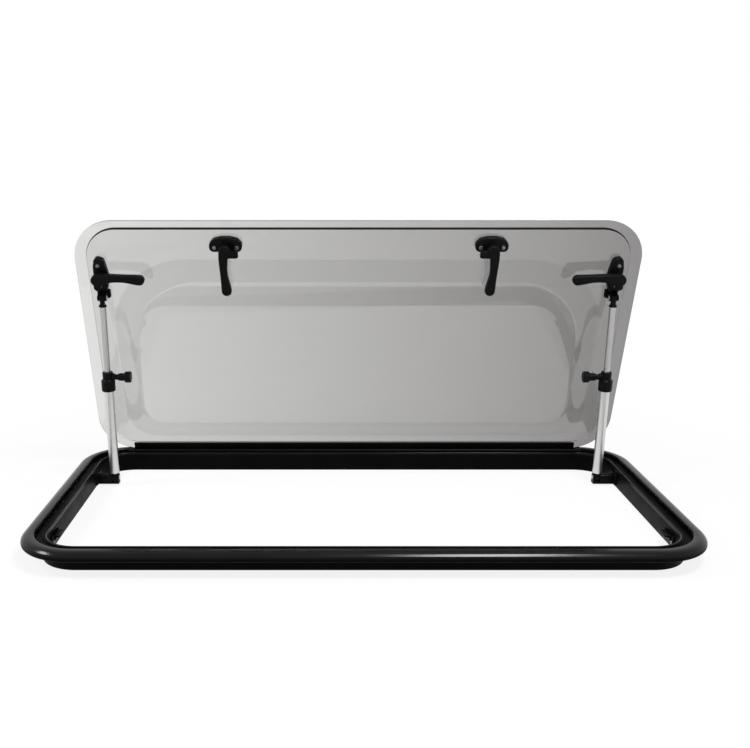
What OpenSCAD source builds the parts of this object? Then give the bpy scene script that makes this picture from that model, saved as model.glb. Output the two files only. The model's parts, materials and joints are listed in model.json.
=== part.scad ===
// Top-hung caravan window: moulded outer frame, double acrylic sash, two telescopic stays
// and four turn latches. The frame lies on its back with its outer side up and the sash
// stands open. X runs along the hinge, -Y is the free edge of the sash, +Z is outdoors.
// The origin is the middle of the frame on the plane that its sleeve stands on.

/* [Frame] */
// Outer width of the frame, along the hinge
frame_w = 1050; // [800:10:1400]
// Outer height of the frame, from free edge to hinge
frame_h = 530; // [500:10:700]
// Radius of the frame's outer corners
frame_r = 95; // [80:1:120]
// How far the sleeve reaches below the flange, into the caravan wall
sleeve_depth = 26; // [24:1:34]
// How far the flange overlaps the caravan wall outside the sleeve
flange_overlap = 31; // [28:1:36]
// Thickness of the sleeve
sleeve_wall = 8; // [6:0.5:10]
// Thickness of the flange under the channel
flange_t = 4; // [3:0.5:6]
// Height of the outer bead above the flange's underside
bead_h = 14; // [12:0.5:16]
// Width of the outer bead
bead_w = 21; // [18:0.5:22]
// Height of the inner lip above the channel's floor
lip_h = 6; // [4:0.5:6.5]
// Width of the inner lip
lip_w = 3; // [2:0.5:4]
// Length of the drain slot in the front bead
drain_len = 44; // [20:1:60]
// Width of the drain slot
drain_w = 2.4; // [1.5:0.1:3]

/* [Seal] */
// Width of the rubber seal's foot
seal_foot_w = 8.5; // [6:0.5:9]
// Thickness of the rubber seal's foot
seal_foot_t = 1.6; // [1:0.1:2.5]
// Width of the rubber seal's ridge
seal_ridge_w = 2.6; // [2:0.1:4]
// Height of the rubber seal above the channel's floor
seal_h = 6.4; // [4:0.1:6.5]

/* [Sash] */
// Gap between the sash and the outer bead, all round
sash_gap = 5; // [5:0.5:7]
// Corner radius of the outer pane
sash_r = 72; // [60:1:90]
// Thickness of the outer pane
outer_pane_t = 3; // [2:0.5:5]
// Thickness of the inner pane
inner_pane_t = 3; // [2:0.5:4]
// Rim of the outer pane that stands past the inner pane
pane_rim = 18; // [17:0.5:24]
// Height of the closed outer pane above the channel's floor
sash_lift = 11.5; // [11.5:0.5:14]
// Angle that the sash stands open by
sash_open = 72; // [30:1:80]
// Width of the weld seam round the inner pane
seam_w = 3; // [2:0.5:5]
// Thickness of the weld seam
seam_t = 1.4; // [0.8:0.1:2.5]

/* [Dish of the inner pane] */
// Depth of the dish towards the room
dish_depth = 10; // [6:0.5:10]
// Flat margin between the sash's side edges and the dish
dish_side = 53; // [50:1:70]
// Flat margin between the sash's free edge and the dish
dish_top = 68; // [62:1:80]
// Flat margin between the hinge edge and the dish
dish_bottom = 27; // [24:1:40]
// Width of the dish's slope
dish_slope = 46; // [40:1:60]
// Corner radius of the dish on the free-edge side
dish_r_top = 140; // [100:5:150]
// Corner radius of the dish on the hinge side
dish_r_bottom = 60; // [50:2:80]

/* [Hinge] */
// Distance of the hinge's ends from the frame's sides
hinge_in = 89; // [89:1:220]
// Radius of the hinge barrel
barrel_r = 2; // [1.6:0.1:2.4]
// Distance from the closed hinge edge of the sash to the hinge axis
hinge_back = 2; // [1:0.5:3]
// Distance from the closed outer pane down to the hinge axis
hinge_drop = 6; // [5.5:0.5:7]
// Wall of the rail that holds the barrel
socket_wall = 1.5; // [1.2:0.1:1.8]
// Running gap round the barrel
barrel_gap = 0.3; // [0.2:0.1:0.5]
// Thickness of the sash rail's legs
rail_t = 1.5; // [1:0.1:2]
// How far the sash rail's legs grip over the outer pane
rail_grip = 12; // [8:0.5:14]
// Length of the end caps of the hinge
hinge_cap_len = 12; // [8:1:20]

/* [Latches] */
// Distance of the top latches from the middle of the sash
top_latch_x = 231; // [150:1:300]
// Distance of the top latches' spindles from the sash's free edge
top_latch_in = 44; // [43:1:60]
// Distance of the side latches' spindles from the sash's side edge
side_latch_in = 42; // [41:1:44]
// Distance of the side latches' spindles from the sash's hinge edge
side_latch_y = 380; // [370:1:390]
// Length of a top latch's base, along the edge
top_base_l = 57; // [54:1:62]
// Radius of the lobes round a top latch's screws
top_base_lobe = 8; // [7:0.5:9]
// Distance from a top latch's spindle to the peak of its base
top_base_peak = 22; // [16:0.5:24]
// Distance from a side latch's spindle to its base's straight edge at the sash's side
side_base_out = 9; // [8.5:0.5:11]
// Distance from a side latch's spindle to its base's inner edge
side_base_in = 17; // [14:0.5:20]
// Distance from a side latch's spindle to its base's rounded end
side_base_reach = 36; // [34:1:40]
// Distance from a side latch's spindle to its base's square end, by the stay's fork
side_base_back = 29; // [26:1:31]
// Radius of the rounded end of a side latch's base
side_base_r = 8; // [6:0.5:10]
// Thickness of a latch base
latch_base_t = 12; // [11:0.5:12.5]
// Spacing of a latch's two screws
latch_screw_pitch = 39; // [36:1:42]
// Length of a latch lever from its spindle
lever_len = 83; // [60:1:86]
// Width of a latch lever at its spindle
lever_w = 21; // [18:1:22]
// Diameter of the rounded tip of a latch lever
lever_tip_w = 17.4; // [12:0.2:19]
// Distance from a lever's middle line to its hollowed edge
lever_waist = 3; // [2:0.5:6]
// Greatest distance from a lever's middle line to its straight edge
lever_back = 12.9; // [11:0.1:14]
// Thickness of a latch lever
lever_t = 11; // [8:0.5:12]
// Thickness of the spindle's collar between base and lever
collar_t = 10; // [9:0.5:11]
// Length of a top latch's tongue from its spindle
top_tongue_len = 23; // [22:0.5:24]
// Length of a side latch's tongue from its spindle
side_tongue_len = 18; // [17:0.5:19]
// Width of a latch tongue
tongue_w = 13; // [10:0.5:16]
// Thickness of a latch tongue
tongue_t = 6; // [4:0.5:7]
// How far a tongue lies below its lever's face
tongue_drop = 3.5; // [3:0.5:4]

/* [Keepers] */
// Width of a keeper along the frame
keeper_w = 40; // [40:1:50]
// Thickness of a keeper's plate on the sleeve
keeper_t = 3; // [2:0.5:4]
// Thickness of a keeper's ledge
ledge_t = 3.5; // [3:0.5:4]
// How far a side keeper's ledge stands off the sleeve
side_ledge = 13; // [12:0.5:13.5]
// How far a top keeper's ledge stands off the sleeve
top_ledge = 13; // [12:0.5:14]
// Gap between a keeper's ledge and the closed sash's latch bases
ledge_gap = 5; // [4.5:0.5:6]
// Spacing of a keeper's two screws
keeper_pitch = 30; // [26:1:32]

/* [Stays] */
// Distance of the stays from the frame's sides
stay_in = 71; // [67:1:85]
// Distance of the stay's lower pivot from the frame's outer edge at the hinge
foot_back = 121; // [110:1:150]
// Height of the stay's lower pivot
foot_z = 14.5; // [13.5:0.5:16]
// Distance of the stay's upper pivot from the end of the side latch's base
fork_ahead = 9; // [8:0.5:12]
// Distance of the stay's upper pivot from the outer pane
stay_top_drop = 23; // [22:0.5:24]
// Outer diameter of the stay's tube
tube_d = 17.5; // [15:0.5:18]
// Wall of the stay's tube
tube_t = 1.5; // [1:0.1:2]
// Length of the stay's tube, from the lower pivot to its open end
tube_len = 189; // [180:1:195]
// Diameter of the stay's rod
rod_d = 11; // [8:0.5:11]
// Diameter of the plastic end on the rod
rod_end_d = 14; // [13:0.5:16]
// Length of the plastic end below the upper pivot
rod_end_l = 16.5; // [16.5:0.5:20]
// Diameter of the stay's pivot pins
pin_d = 5; // [4:0.5:6]
// Radius of the eyes at the stay's ends
eye_r = 7; // [6:0.5:7.5]
// Width of the eyes at the stay's ends
eye_w = 8; // [7:0.5:10]
// Radius of the upper fork's ears
fork_r = 5.5; // [5:0.5:5.5]
// Running gap beside the eyes
eye_gap = 1; // [0.5:0.1:1.5]
// Thickness of the ears that hold the eyes
ear_t = 3; // [2:0.5:4]

/* [Clamp] */
// Length of the clamp on the tube's open end
clamp_len = 36; // [34:1:40]
// Length of the clamp's wide part
clamp_body_l = 21; // [20:0.5:23]
// Diameter of the clamp's wide part
clamp_d = 25; // [22:0.5:26]
// Diameter of the clamp's narrow part
clamp_nose_d = 19; // [17:0.5:21]
// How far the clamp reaches over the tube
clamp_cover = 18; // [14:0.5:18]
// Height of the knob above the clamp's lower end
knob_at = 26; // [24:0.5:27]
// Diameter of the clamp knob's neck
knob_neck_d = 10.5; // [8:0.5:12]
// Diameter of the clamp knob's shaft beside its head
knob_shaft_d = 14; // [12:0.5:15]
// Length of the clamp knob's shaft beside its head
knob_shaft_l = 11.5; // [8:0.5:13]
// Diameter of the clamp knob's head
knob_d = 20.5; // [17:0.5:21]
// Thickness of the clamp knob's head
knob_head_t = 11; // [8:0.5:12]
// How far the clamp knob stands off the clamp
knob_reach = 30; // [28:0.5:31]

/* [Hidden] */
$fn = 48;
// Overlap that makes a cut run clear of the face it starts from
cut = 1;

// Heights and insets of the frame's section
channel_z = sleeve_depth + flange_t;
bead_z = sleeve_depth + bead_h;
wall_in = flange_overlap + sleeve_wall;
seal_gap = 0.3;
seal_in = wall_in - lip_w - seal_gap;
edge = 1;

// The closed sash
sash_in = bead_w + sash_gap;
sash_w = frame_w - 2 * sash_in;
pane_z = channel_z + sash_lift;
hinge_edge_y = frame_h / 2 - sash_in;
free_edge_y = -hinge_edge_y;
inner_face_z = pane_z - inner_pane_t;

// Hinge
axis_y = hinge_edge_y + hinge_back;
axis_z = pane_z - hinge_drop;
socket_r = barrel_r + barrel_gap + socket_wall;
relief = 0.3;
rail_foot_y = frame_h / 2 - seal_in;
rail_swing = hinge_drop + outer_pane_t + rail_t;
swing_gap = 1;
hinge_len = frame_w - 2 * hinge_in;
hinge_cut_len = hinge_len + 2 * hinge_cap_len + 2 * relief;

// Latches
side_latch_x = sash_w / 2 - side_latch_in;
top_spindle_y = free_edge_y + top_latch_in;
side_spindle_y = hinge_edge_y - side_latch_y;
collar_r = 8;
spindle_gap = 0.2;
screw_head_d = 7;
screw_head_t = 1.2;

// Keepers
ledge_z = inner_face_z - latch_base_t - ledge_gap - ledge_t;
keeper_foot_z = 4;

// Stays
stay_x = frame_w / 2 - stay_in;
foot_y = frame_h / 2 - foot_back;
base_end_y = side_spindle_y + side_base_back;
top_y_closed = base_end_y + fork_ahead;
top_z_closed = pane_z - stay_top_drop;
top_dy = top_y_closed - axis_y;
top_dz = top_z_closed - axis_z;
top_y = axis_y + top_dy * cos(sash_open) + top_dz * sin(sash_open);
top_z = axis_z - top_dy * sin(sash_open) + top_dz * cos(sash_open);
stay_len = norm([top_y - foot_y, top_z - foot_z]);
stay_lean = atan2(foot_y - top_y, top_z - foot_z);
closed_len = norm([top_y_closed - foot_y, top_z_closed - foot_z]);
foot_neck = eye_r + 2;
foot_collar_t = 1;
plug_l = 8;
rod_stop = 5;
rod_len = closed_len - foot_neck - plug_l - rod_stop;
rod_gap = 0.4;
pin_gap = 0.2;
socket_l = 4;
clamp_at = tube_len - clamp_cover;

// Points along an arc of an ellipse, in the section's inset and height
function arc(c, rx, rz, from, to, n = 8) =
    [for (i = [0:n]) let (a = from + (to - from) * i / n) [c[0] + rx * cos(a), c[1] + rz * sin(a)]];

// Places what is drawn for the closed sash on the open one
module on_sash() {
    translate([0, axis_y, axis_z])
        rotate([-sash_open, 0, 0])
            translate([0, -axis_y, -axis_z])
                children();
}

// Places what is drawn along +Z from the lower pivot on the left or right stay
module on_stay(side) {
    translate([side * stay_x, foot_y, foot_z])
        rotate([stay_lean, 0, 0])
            children();
}

// One section, given by inset and height, carried round the rounded frame
module ring(points) {
    straight_x = frame_w - 2 * frame_r;
    straight_y = frame_h - 2 * frame_r;
    corner = [for (p = points) [frame_r - p[0], p[1]]];
    for (side = [0, 1]) {
        rotate([0, 0, 180 * side])
            translate([-straight_x / 2, -frame_h / 2, 0])
                rotate([90, 0, 90])
                    linear_extrude(height = straight_x)
                        polygon(points);
        rotate([0, 0, 180 * side])
            translate([frame_w / 2, -straight_y / 2, 0])
                rotate([90, 0, 180])
                    linear_extrude(height = straight_y)
                        polygon(points);
    }
    for (sx = [0, 1], sy = [0, 1])
        translate([(1 - 2 * sx) * straight_x / 2, (1 - 2 * sy) * straight_y / 2, 0])
            rotate([0, 0, sx == sy ? 180 * sx : 90 + 180 * sy])
                rotate_extrude(angle = 90)
                    polygon(corner);
}

// A rectangle with four rounded corners, centred in X and from y0 to y1
module rounded(w, y0, y1, r) {
    translate([-w / 2 + r, y0])
        square([w - 2 * r, y1 - y0]);
    translate([-w / 2, y0 + r])
        square([w, y1 - y0 - 2 * r]);
    for (x = [-w / 2 + r, w / 2 - r], y = [y0 + r, y1 - r])
        translate([x, y])
            circle(r = r);
}

// Frame

module outer_frame() {
    bead_round = 3;
    lip_in = wall_in - lip_w;
    section = concat(
        [[edge, sleeve_depth], [0, sleeve_depth + edge]],
        arc([bead_w * 0.66, sleeve_depth + 4], bead_w * 0.66, bead_h - 4, 180, 90),
        arc([bead_w - bead_round, bead_z - bead_round], bead_round, bead_round, 90, 0, 5),
        [[bead_w, channel_z], [lip_in, channel_z]],
        arc([lip_in + lip_w / 2, channel_z + lip_h - lip_w / 2], lip_w / 2, lip_w / 2, 180, 0, 6),
        [[wall_in, edge], [wall_in - edge, 0], [flange_overlap + edge, 0], [flange_overlap, edge],
            [flange_overlap, sleeve_depth]]);
    color("#1b1c1d")
        difference() {
            ring(section);
            hinge_relief();
            drain_slot();
        }
}

// Room in the hinge side's bead for the barrel's socket and for the swing of the sash's rail
module hinge_relief() {
    translate([-hinge_cut_len / 2, axis_y, axis_z])
        rotate([0, 90, 0])
            cylinder(r = socket_r + relief, h = hinge_cut_len);
    translate([-hinge_cut_len / 2, axis_y, axis_z])
        cube([hinge_cut_len, rail_swing + swing_gap, bead_z]);
}

module drain_slot() {
    depth = 1.5;
    slot_x = -249;
    translate([slot_x - drain_len / 2, -frame_h / 2 + bead_w * 0.7, bead_z - depth])
        cube([drain_len, drain_w, depth + cut]);
}

module frame_seal() {
    outer_in = seal_in - seal_foot_w;
    ridge_out = seal_in - seal_ridge_w;
    top_r = seal_ridge_w / 2;
    section = concat(
        [[outer_in, channel_z], [outer_in, channel_z + seal_foot_t / 2],
            [ridge_out - edge, channel_z + seal_foot_t]],
        arc([ridge_out + top_r, channel_z + seal_h - top_r], top_r, top_r, 180, 0, 6),
        [[ridge_out + seal_ridge_w, channel_z]]);
    color("#0c0c0d")
        difference() {
            ring(section);
            translate([-hinge_cut_len / 2, rail_foot_y - cut, 0])
                cube([hinge_cut_len, flange_overlap, bead_z]);
        }
}

// Hinge

// Foot of the barrel's socket, behind the frame's lip
module rail_foot() {
    translate([rail_foot_y, channel_z])
        square([axis_y - rail_foot_y, axis_z - socket_r - channel_z + socket_wall]);
}

module frame_hinge_rail() {
    neck_half = asin(rail_t / 2 / barrel_r) + 2;
    mouth_from = 90 - sash_open - neck_half;
    mouth_to = 90 + neck_half;
    mouth_steps = 3;
    mouth = [for (i = [0:mouth_steps])
        let (a = mouth_from + (mouth_to - mouth_from) * i / mouth_steps)
            2 * socket_r * [cos(a), sin(a)]];
    color("#141414")
        translate([-hinge_len / 2, 0, 0])
            rotate([90, 0, 90])
                linear_extrude(height = hinge_len)
                    difference() {
                        union() {
                            translate([axis_y, axis_z])
                                circle(r = socket_r);
                            rail_foot();
                        }
                        translate([axis_y, axis_z])
                            circle(r = barrel_r + barrel_gap);
                        translate([axis_y, axis_z])
                            polygon(concat([[0, 0]], mouth));
                    }
}

module hinge_cap(side) {
    x0 = side > 0 ? hinge_len / 2 : -hinge_len / 2 - hinge_cap_len;
    color("#1b1c1d")
        translate([x0, 0, 0])
            rotate([90, 0, 90])
                linear_extrude(height = hinge_cap_len)
                    union() {
                        translate([axis_y, axis_z])
                            circle(r = socket_r);
                        rail_foot();
                    }
}

// Channel that grips the outer pane, with the barrel on a neck below it
module sash_hinge_rail() {
    grip_gap = 0.3;
    web_y = hinge_edge_y + grip_gap;
    grip_y = hinge_edge_y - rail_grip;
    color("#141414")
        on_sash()
            translate([-hinge_len / 2 + relief, 0, 0])
                rotate([90, 0, 90])
                    linear_extrude(height = hinge_len - 2 * relief)
                        union() {
                            translate([grip_y, pane_z - rail_t])
                                square([axis_y + rail_t / 2 - grip_y, rail_t]);
                            translate([grip_y, pane_z + outer_pane_t])
                                square([web_y + rail_t - grip_y, rail_t]);
                            translate([web_y, pane_z - rail_t])
                                square([rail_t, outer_pane_t + 2 * rail_t]);
                            translate([axis_y, axis_z])
                                circle(r = barrel_r);
                            translate([axis_y - rail_t / 2, axis_z])
                                square([rail_t, hinge_drop - rail_t / 2]);
                        }
}

// Sash

module sash_outer_pane() {
    color("#9aa0a2", 0.35)
        on_sash()
            translate([0, 0, pane_z])
                linear_extrude(height = outer_pane_t)
                    rounded(sash_w, free_edge_y, hinge_edge_y, sash_r);
}

// One side of the dish: its mouth at the flange and its floor, as a thin plate each
module dish_body(shrink, top, floor_z) {
    plate = 0.2;
    w = sash_w - 2 * dish_side;
    y0 = free_edge_y + dish_top;
    y1 = hinge_edge_y - dish_bottom;
    hull() {
        translate([0, 0, top - plate])
            linear_extrude(height = plate)
                dish_outline(w - 2 * shrink, y0 + shrink, y1 - shrink, shrink);
        translate([0, 0, floor_z])
            linear_extrude(height = plate)
                dish_outline(w - 2 * dish_slope - 2 * shrink, y0 + dish_slope + shrink,
                    y1 - dish_slope - shrink, dish_slope / 2 + shrink);
    }
}

// Outline with large corners towards the free edge and smaller ones towards the hinge
module dish_outline(w, y0, y1, less) {
    rt = dish_r_top - less;
    rb = dish_r_bottom - less;
    hull() {
        for (s = [-1, 1]) {
            translate([s * (w / 2 - rt), y0 + rt])
                circle(r = rt, $fn = 64);
            translate([s * (w / 2 - rb), y1 - rb])
                circle(r = rb, $fn = 48);
        }
    }
}

module sash_inner_pane() {
    rim_r = sash_r - pane_rim;
    color("#8c9294", 0.35)
        on_sash()
            difference() {
                union() {
                    translate([0, 0, inner_face_z])
                        linear_extrude(height = inner_pane_t)
                            rounded(sash_w - 2 * pane_rim, free_edge_y + pane_rim,
                                hinge_edge_y - pane_rim, rim_r);
                    dish_body(0, inner_face_z + cut, inner_face_z - dish_depth);
                }
                dish_body(inner_pane_t, pane_z + cut, inner_face_z - dish_depth + inner_pane_t);
            }
}

module sash_weld_seam() {
    rim_r = sash_r - pane_rim;
    color("#17181a")
        on_sash()
            translate([0, 0, pane_z - seam_t])
                linear_extrude(height = seam_t)
                    difference() {
                        rounded(sash_w - 2 * pane_rim + 2 * seam_w, free_edge_y + pane_rim - seam_w,
                            hinge_edge_y - pane_rim + seam_w, rim_r + seam_w);
                        rounded(sash_w - 2 * pane_rim, free_edge_y + pane_rim,
                            hinge_edge_y - pane_rim, rim_r);
                    }
}

// Latches. Each is drawn round its spindle at the origin with the sash's inner face at
// z = 0, the edge of the sash towards +Y and the room towards -Z.

// Puts a latch in its place: "top" or "side" edge, on the left (-1) or right (1)
module on_top_latch(side) {
    on_sash()
        translate([side * top_latch_x, top_spindle_y, inner_face_z])
            rotate([0, 0, 180])
                children();
}

module on_side_latch(side) {
    on_sash()
        translate([side * side_latch_x, side_spindle_y, inner_face_z])
            rotate([0, 0, -90 * side])
                children();
}

// Plate with a lobe round each screw and a blunt peak towards the sash's edge
module top_latch_base() {
    r = top_base_lobe;
    lobe_x = top_base_l / 2 - r;
    peak_half = 7;
    shoulder = 60;
    rise_x = lobe_x + r * cos(shoulder);
    rise_y = r * sin(shoulder);
    latch_plate() {
        polygon([[-lobe_x, -r], [lobe_x, -r], [rise_x, rise_y], [peak_half, top_base_peak],
            [-peak_half, top_base_peak], [-rise_x, rise_y]]);
        for (s = [-1, 1])
            translate([s * lobe_x, 0])
                circle(r = r);
    }
}

// Plate with a rounded end towards the sash's free edge and a square end towards the stay
module side_latch_base(turn) {
    end_x = side_base_reach - side_base_r;
    end_y = (side_base_out - side_base_in) / 2 + 1;
    shoulder = 0.45;
    latch_plate()
        mirror([turn > 0 ? 0 : 1, 0]) {
            translate([end_x, end_y])
                circle(r = side_base_r);
            polygon([[-side_base_back, -side_base_in], [0, -side_base_in], [end_x, end_y - side_base_r],
                [end_x, end_y + side_base_r], [side_base_reach * shoulder, side_base_out],
                [-side_base_back, side_base_out]]);
        }
}

// A latch's plate, its outline given by the children, with two seats for screw heads
module latch_plate() {
    color("#161617")
        difference() {
            translate([0, 0, -latch_base_t])
                linear_extrude(height = latch_base_t)
                    union()
                        children();
            for (s = [-1, 1])
                translate([s * latch_screw_pitch / 2, 0, -latch_base_t - cut])
                    cylinder(d = screw_head_d + 2 * spindle_gap, h = screw_head_t + cut);
        }
}

// Lever towards -Y and tongue towards the side that turn points to
module latch_lever(tongue_len, turn) {
    face = -latch_base_t - collar_t;
    color("#161617")
        mirror([turn > 0 ? 0 : 1, 0, 0])
            union() {
                translate([0, 0, face])
                    cylinder(r = collar_r, h = collar_t - spindle_gap);
                translate([0, 0, face - lever_t])
                    linear_extrude(height = lever_t)
                        lever_outline();
                translate([0, -tongue_w / 2, face - tongue_drop - tongue_t])
                    cube([tongue_len, tongue_w, tongue_t]);
            }
}

// Nearly straight edge on the -X side, hollowed edge on the +X side
module lever_outline() {
    tip_r = lever_tip_w / 2;
    hub_r = lever_w / 2;
    tip_y = -lever_len + tip_r;
    union() {
        circle(r = hub_r);
        translate([0, tip_y])
            circle(r = tip_r);
        polygon([[-hub_r, 0], [-lever_back, -lever_len * 0.17], [-tip_r, tip_y], [tip_r, tip_y],
            [lever_waist + 1, -lever_len * 0.68], [lever_waist, -lever_len * 0.56],
            [lever_waist, -lever_len * 0.38], [lever_waist + 1, -lever_len * 0.22], [hub_r, 0]]);
    }
}

module latch_screws() {
    color("#3a3b3d")
        for (s = [-1, 1])
            translate([s * latch_screw_pitch / 2, 0, -latch_base_t])
                cylinder(d = screw_head_d, h = screw_head_t);
}

// Stays

// Upper fork on the sash, its ears either side of the rod's eye
module stay_clevis(side) {
    plate_t = 4;
    plate_l = 17;
    plate_w = 24;
    ear_x = eye_w / 2 + eye_gap;
    drop = stay_top_drop - inner_pane_t;
    color("#161617")
        on_sash()
            translate([side * stay_x, top_y_closed, inner_face_z])
                difference() {
                    union() {
                        translate([-plate_w / 2, relief - fork_ahead, -plate_t])
                            cube([plate_w, plate_l, plate_t]);
                        for (s = [0, 1])
                            translate([s == 0 ? -ear_x - ear_t : ear_x, 0, 0])
                                rotate([90, 0, 90])
                                    linear_extrude(height = ear_t)
                                        union() {
                                            translate([0, -drop])
                                                circle(r = fork_r);
                                            translate([-fork_r, -drop])
                                                square([2 * fork_r, drop - plate_t / 2]);
                                        }
                    }
                    translate([-ear_x - ear_t - cut, 0, -drop])
                        rotate([0, 90, 0])
                            cylinder(d = pin_d, h = 2 * (ear_x + ear_t + cut));
                }
}

// Rivet ends in the fork's ears
module stay_rivets(side) {
    head_t = 1.2;
    ear_x = eye_w / 2 + eye_gap;
    drop = stay_top_drop - inner_pane_t;
    color("#8f9295")
        on_sash()
            for (s = [-1, 1])
                translate([side * stay_x, top_y_closed, inner_face_z - drop])
                    rotate([0, 90 * s, 0])
                        union() {
                            translate([0, 0, ear_x])
                                cylinder(d = pin_d, h = ear_t);
                            translate([0, 0, ear_x + ear_t])
                                cylinder(d = pin_d + 3, h = head_t);
                        }
}

module stay_rod(side) {
    color("#a9adb0")
        on_stay(side)
            translate([0, 0, stay_len - rod_len])
                cylinder(d = rod_d, h = rod_len - rod_end_l + socket_l - 1);
}

// Plastic end of the rod: a socket, a neck and the eye between the fork's ears
module rod_end(side) {
    color("#161617")
        on_stay(side)
            difference() {
                union() {
                    translate([0, 0, stay_len - rod_end_l])
                        cylinder(d = rod_end_d, h = socket_l);
                    translate([0, 0, stay_len - rod_end_l])
                        cylinder(d = eye_w, h = rod_end_l);
                    translate([-eye_w / 2, 0, stay_len])
                        rotate([0, 90, 0])
                            cylinder(r = eye_r - 1, h = eye_w);
                }
                translate([0, 0, stay_len - rod_end_l - cut])
                    cylinder(d = rod_d, h = socket_l - 1 + cut);
            }
}

module stay_tube(side) {
    color("#c4c8ca")
        on_stay(side)
            translate([0, 0, foot_neck])
                difference() {
                    cylinder(d = tube_d, h = tube_len - foot_neck);
                    translate([0, 0, -cut])
                        cylinder(d = tube_d - 2 * tube_t, h = tube_len - foot_neck + 2 * cut);
                }
}

// Plug in the tube's lower end with the eye for the foot pin
module stay_foot(side) {
    plug_d = tube_d - 2 * tube_t;
    color("#161617")
        on_stay(side)
            difference() {
                union() {
                    translate([-eye_w / 2, 0, 0])
                        rotate([0, 90, 0])
                            cylinder(r = eye_r, h = eye_w);
                    cylinder(d = eye_w, h = foot_neck);
                    translate([0, 0, foot_neck - foot_collar_t])
                        cylinder(d = tube_d, h = foot_collar_t);
                    translate([0, 0, foot_neck])
                        cylinder(d = plug_d, h = plug_l);
                }
                translate([-eye_w, 0, 0])
                    rotate([0, 90, 0])
                        cylinder(d = pin_d + 2 * pin_gap, h = 2 * eye_w);
            }
}

// Stepped clamp on the tube's open end, with the rod's bore and a boss for the knob
module stay_clamp(side) {
    boss_h = clamp_d / 2;
    color("#161617")
        on_stay(side)
            difference() {
                union() {
                    translate([0, 0, clamp_at])
                        cylinder(d = clamp_d, h = clamp_body_l);
                    translate([0, 0, clamp_at])
                        cylinder(d = clamp_nose_d, h = clamp_len);
                    translate([0, 0, clamp_at + knob_at])
                        rotate([0, -90 * side, 0])
                            cylinder(d = knob_shaft_d, h = boss_h);
                }
                translate([0, 0, clamp_at - cut])
                    cylinder(d = tube_d, h = clamp_cover + cut);
                translate([0, 0, clamp_at - cut])
                    cylinder(d = rod_d + 2 * rod_gap, h = clamp_len + 2 * cut);
            }
}

module clamp_knob(side) {
    flutes = 8;
    flute_r = 2;
    start = clamp_d / 2 + pin_gap;
    head_at = clamp_d / 2 + knob_reach - knob_head_t;
    color("#161617")
        on_stay(side)
            translate([0, 0, clamp_at + knob_at])
                rotate([0, -90 * side, 0])
                    difference() {
                        union() {
                            translate([0, 0, start])
                                cylinder(d = knob_neck_d, h = head_at - start + cut);
                            translate([0, 0, head_at - knob_shaft_l])
                                cylinder(d = knob_shaft_d, h = knob_shaft_l + cut);
                            translate([0, 0, head_at])
                                cylinder(d = knob_d, h = knob_head_t);
                        }
                        for (i = [0:flutes - 1])
                            rotate([0, 0, 360 / flutes * i])
                                translate([knob_d / 2 + 0.6, 0, head_at - cut])
                                    cylinder(r = flute_r, h = knob_head_t + 2 * cut);
                    }
}

// Lower fork: plate on the sleeve, floor, and an ear and a block either side of the foot's eye
module stay_bracket(side) {
    plate_t = 3;
    plate_l = 34;
    plate_h = 22;
    floor_t = 3;
    floor_z = foot_z - eye_r - 2 - floor_t;
    ear_x = eye_w / 2 + eye_gap;
    wall_x = frame_w / 2 - wall_in;
    color("#1b1b1c")
        translate([0, foot_y, 0])
            mirror([side < 0 ? 1 : 0, 0, 0])
                difference() {
                    union() {
                        translate([wall_x - plate_t, -plate_l / 2, floor_z])
                            cube([plate_t, plate_l, plate_h]);
                        translate([stay_x - ear_x - ear_t, -eye_r, floor_z])
                            cube([wall_x - stay_x + ear_x + ear_t, 2 * eye_r, floor_t]);
                        for (s = [0, 1])
                            translate([stay_x + (s == 0 ? -ear_x - ear_t : ear_x), 0, 0])
                                rotate([90, 0, 90])
                                    linear_extrude(height = s == 0 ? ear_t : wall_x - stay_x - ear_x)
                                        union() {
                                            translate([0, foot_z])
                                                circle(r = eye_r);
                                            translate([-eye_r, floor_z])
                                                square([2 * eye_r, foot_z - floor_z]);
                                        }
                    }
                    translate([stay_x - ear_x - ear_t - cut, 0, foot_z])
                        rotate([0, 90, 0])
                            cylinder(d = pin_d, h = 2 * (ear_x + ear_t) + cut);
                }
}

module foot_pin(side) {
    head_t = 1.5;
    ear_x = eye_w / 2 + eye_gap;
    color("#8f9295")
        translate([side * stay_x, foot_y, foot_z])
            rotate([0, -90 * side, 0])
                union() {
                    translate([0, 0, -ear_x - ear_t])
                        cylinder(d = pin_d, h = 2 * (ear_x + ear_t));
                    translate([0, 0, ear_x + ear_t])
                        cylinder(d = pin_d + 3, h = head_t);
                }
}

// Keepers. Each is drawn with the sleeve's face at y = 0 and the ledge towards +Y.
module keeper(ledge) {
    top = ledge_z + ledge_t;
    color("#161617")
        union() {
            translate([-keeper_w / 2, 0, keeper_foot_z])
                cube([keeper_w, keeper_t, top - keeper_foot_z]);
            translate([-keeper_w / 2, 0, ledge_z])
                cube([keeper_w, ledge, ledge_t]);
        }
}

module on_front_wall(side) {
    translate([side * top_latch_x, -frame_h / 2 + wall_in, 0])
        children();
}

module on_side_wall(side) {
    translate([side * (frame_w / 2 - wall_in), side_spindle_y, 0])
        rotate([0, 0, 90 * side])
            children();
}

module keeper_screws() {
    color("#3a3b3d")
        for (side = [-1, 1]) {
            on_front_wall(side)
                keeper_screw_pair();
            on_side_wall(side)
                keeper_screw_pair();
        }
}

module keeper_screw_pair() {
    mid_z = (keeper_foot_z + ledge_z) / 2;
    for (s = [-1, 1])
        translate([s * keeper_pitch / 2, keeper_t, mid_z])
            rotate([-90, 0, 0])
                cylinder(d = screw_head_d, h = screw_head_t);
}

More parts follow.
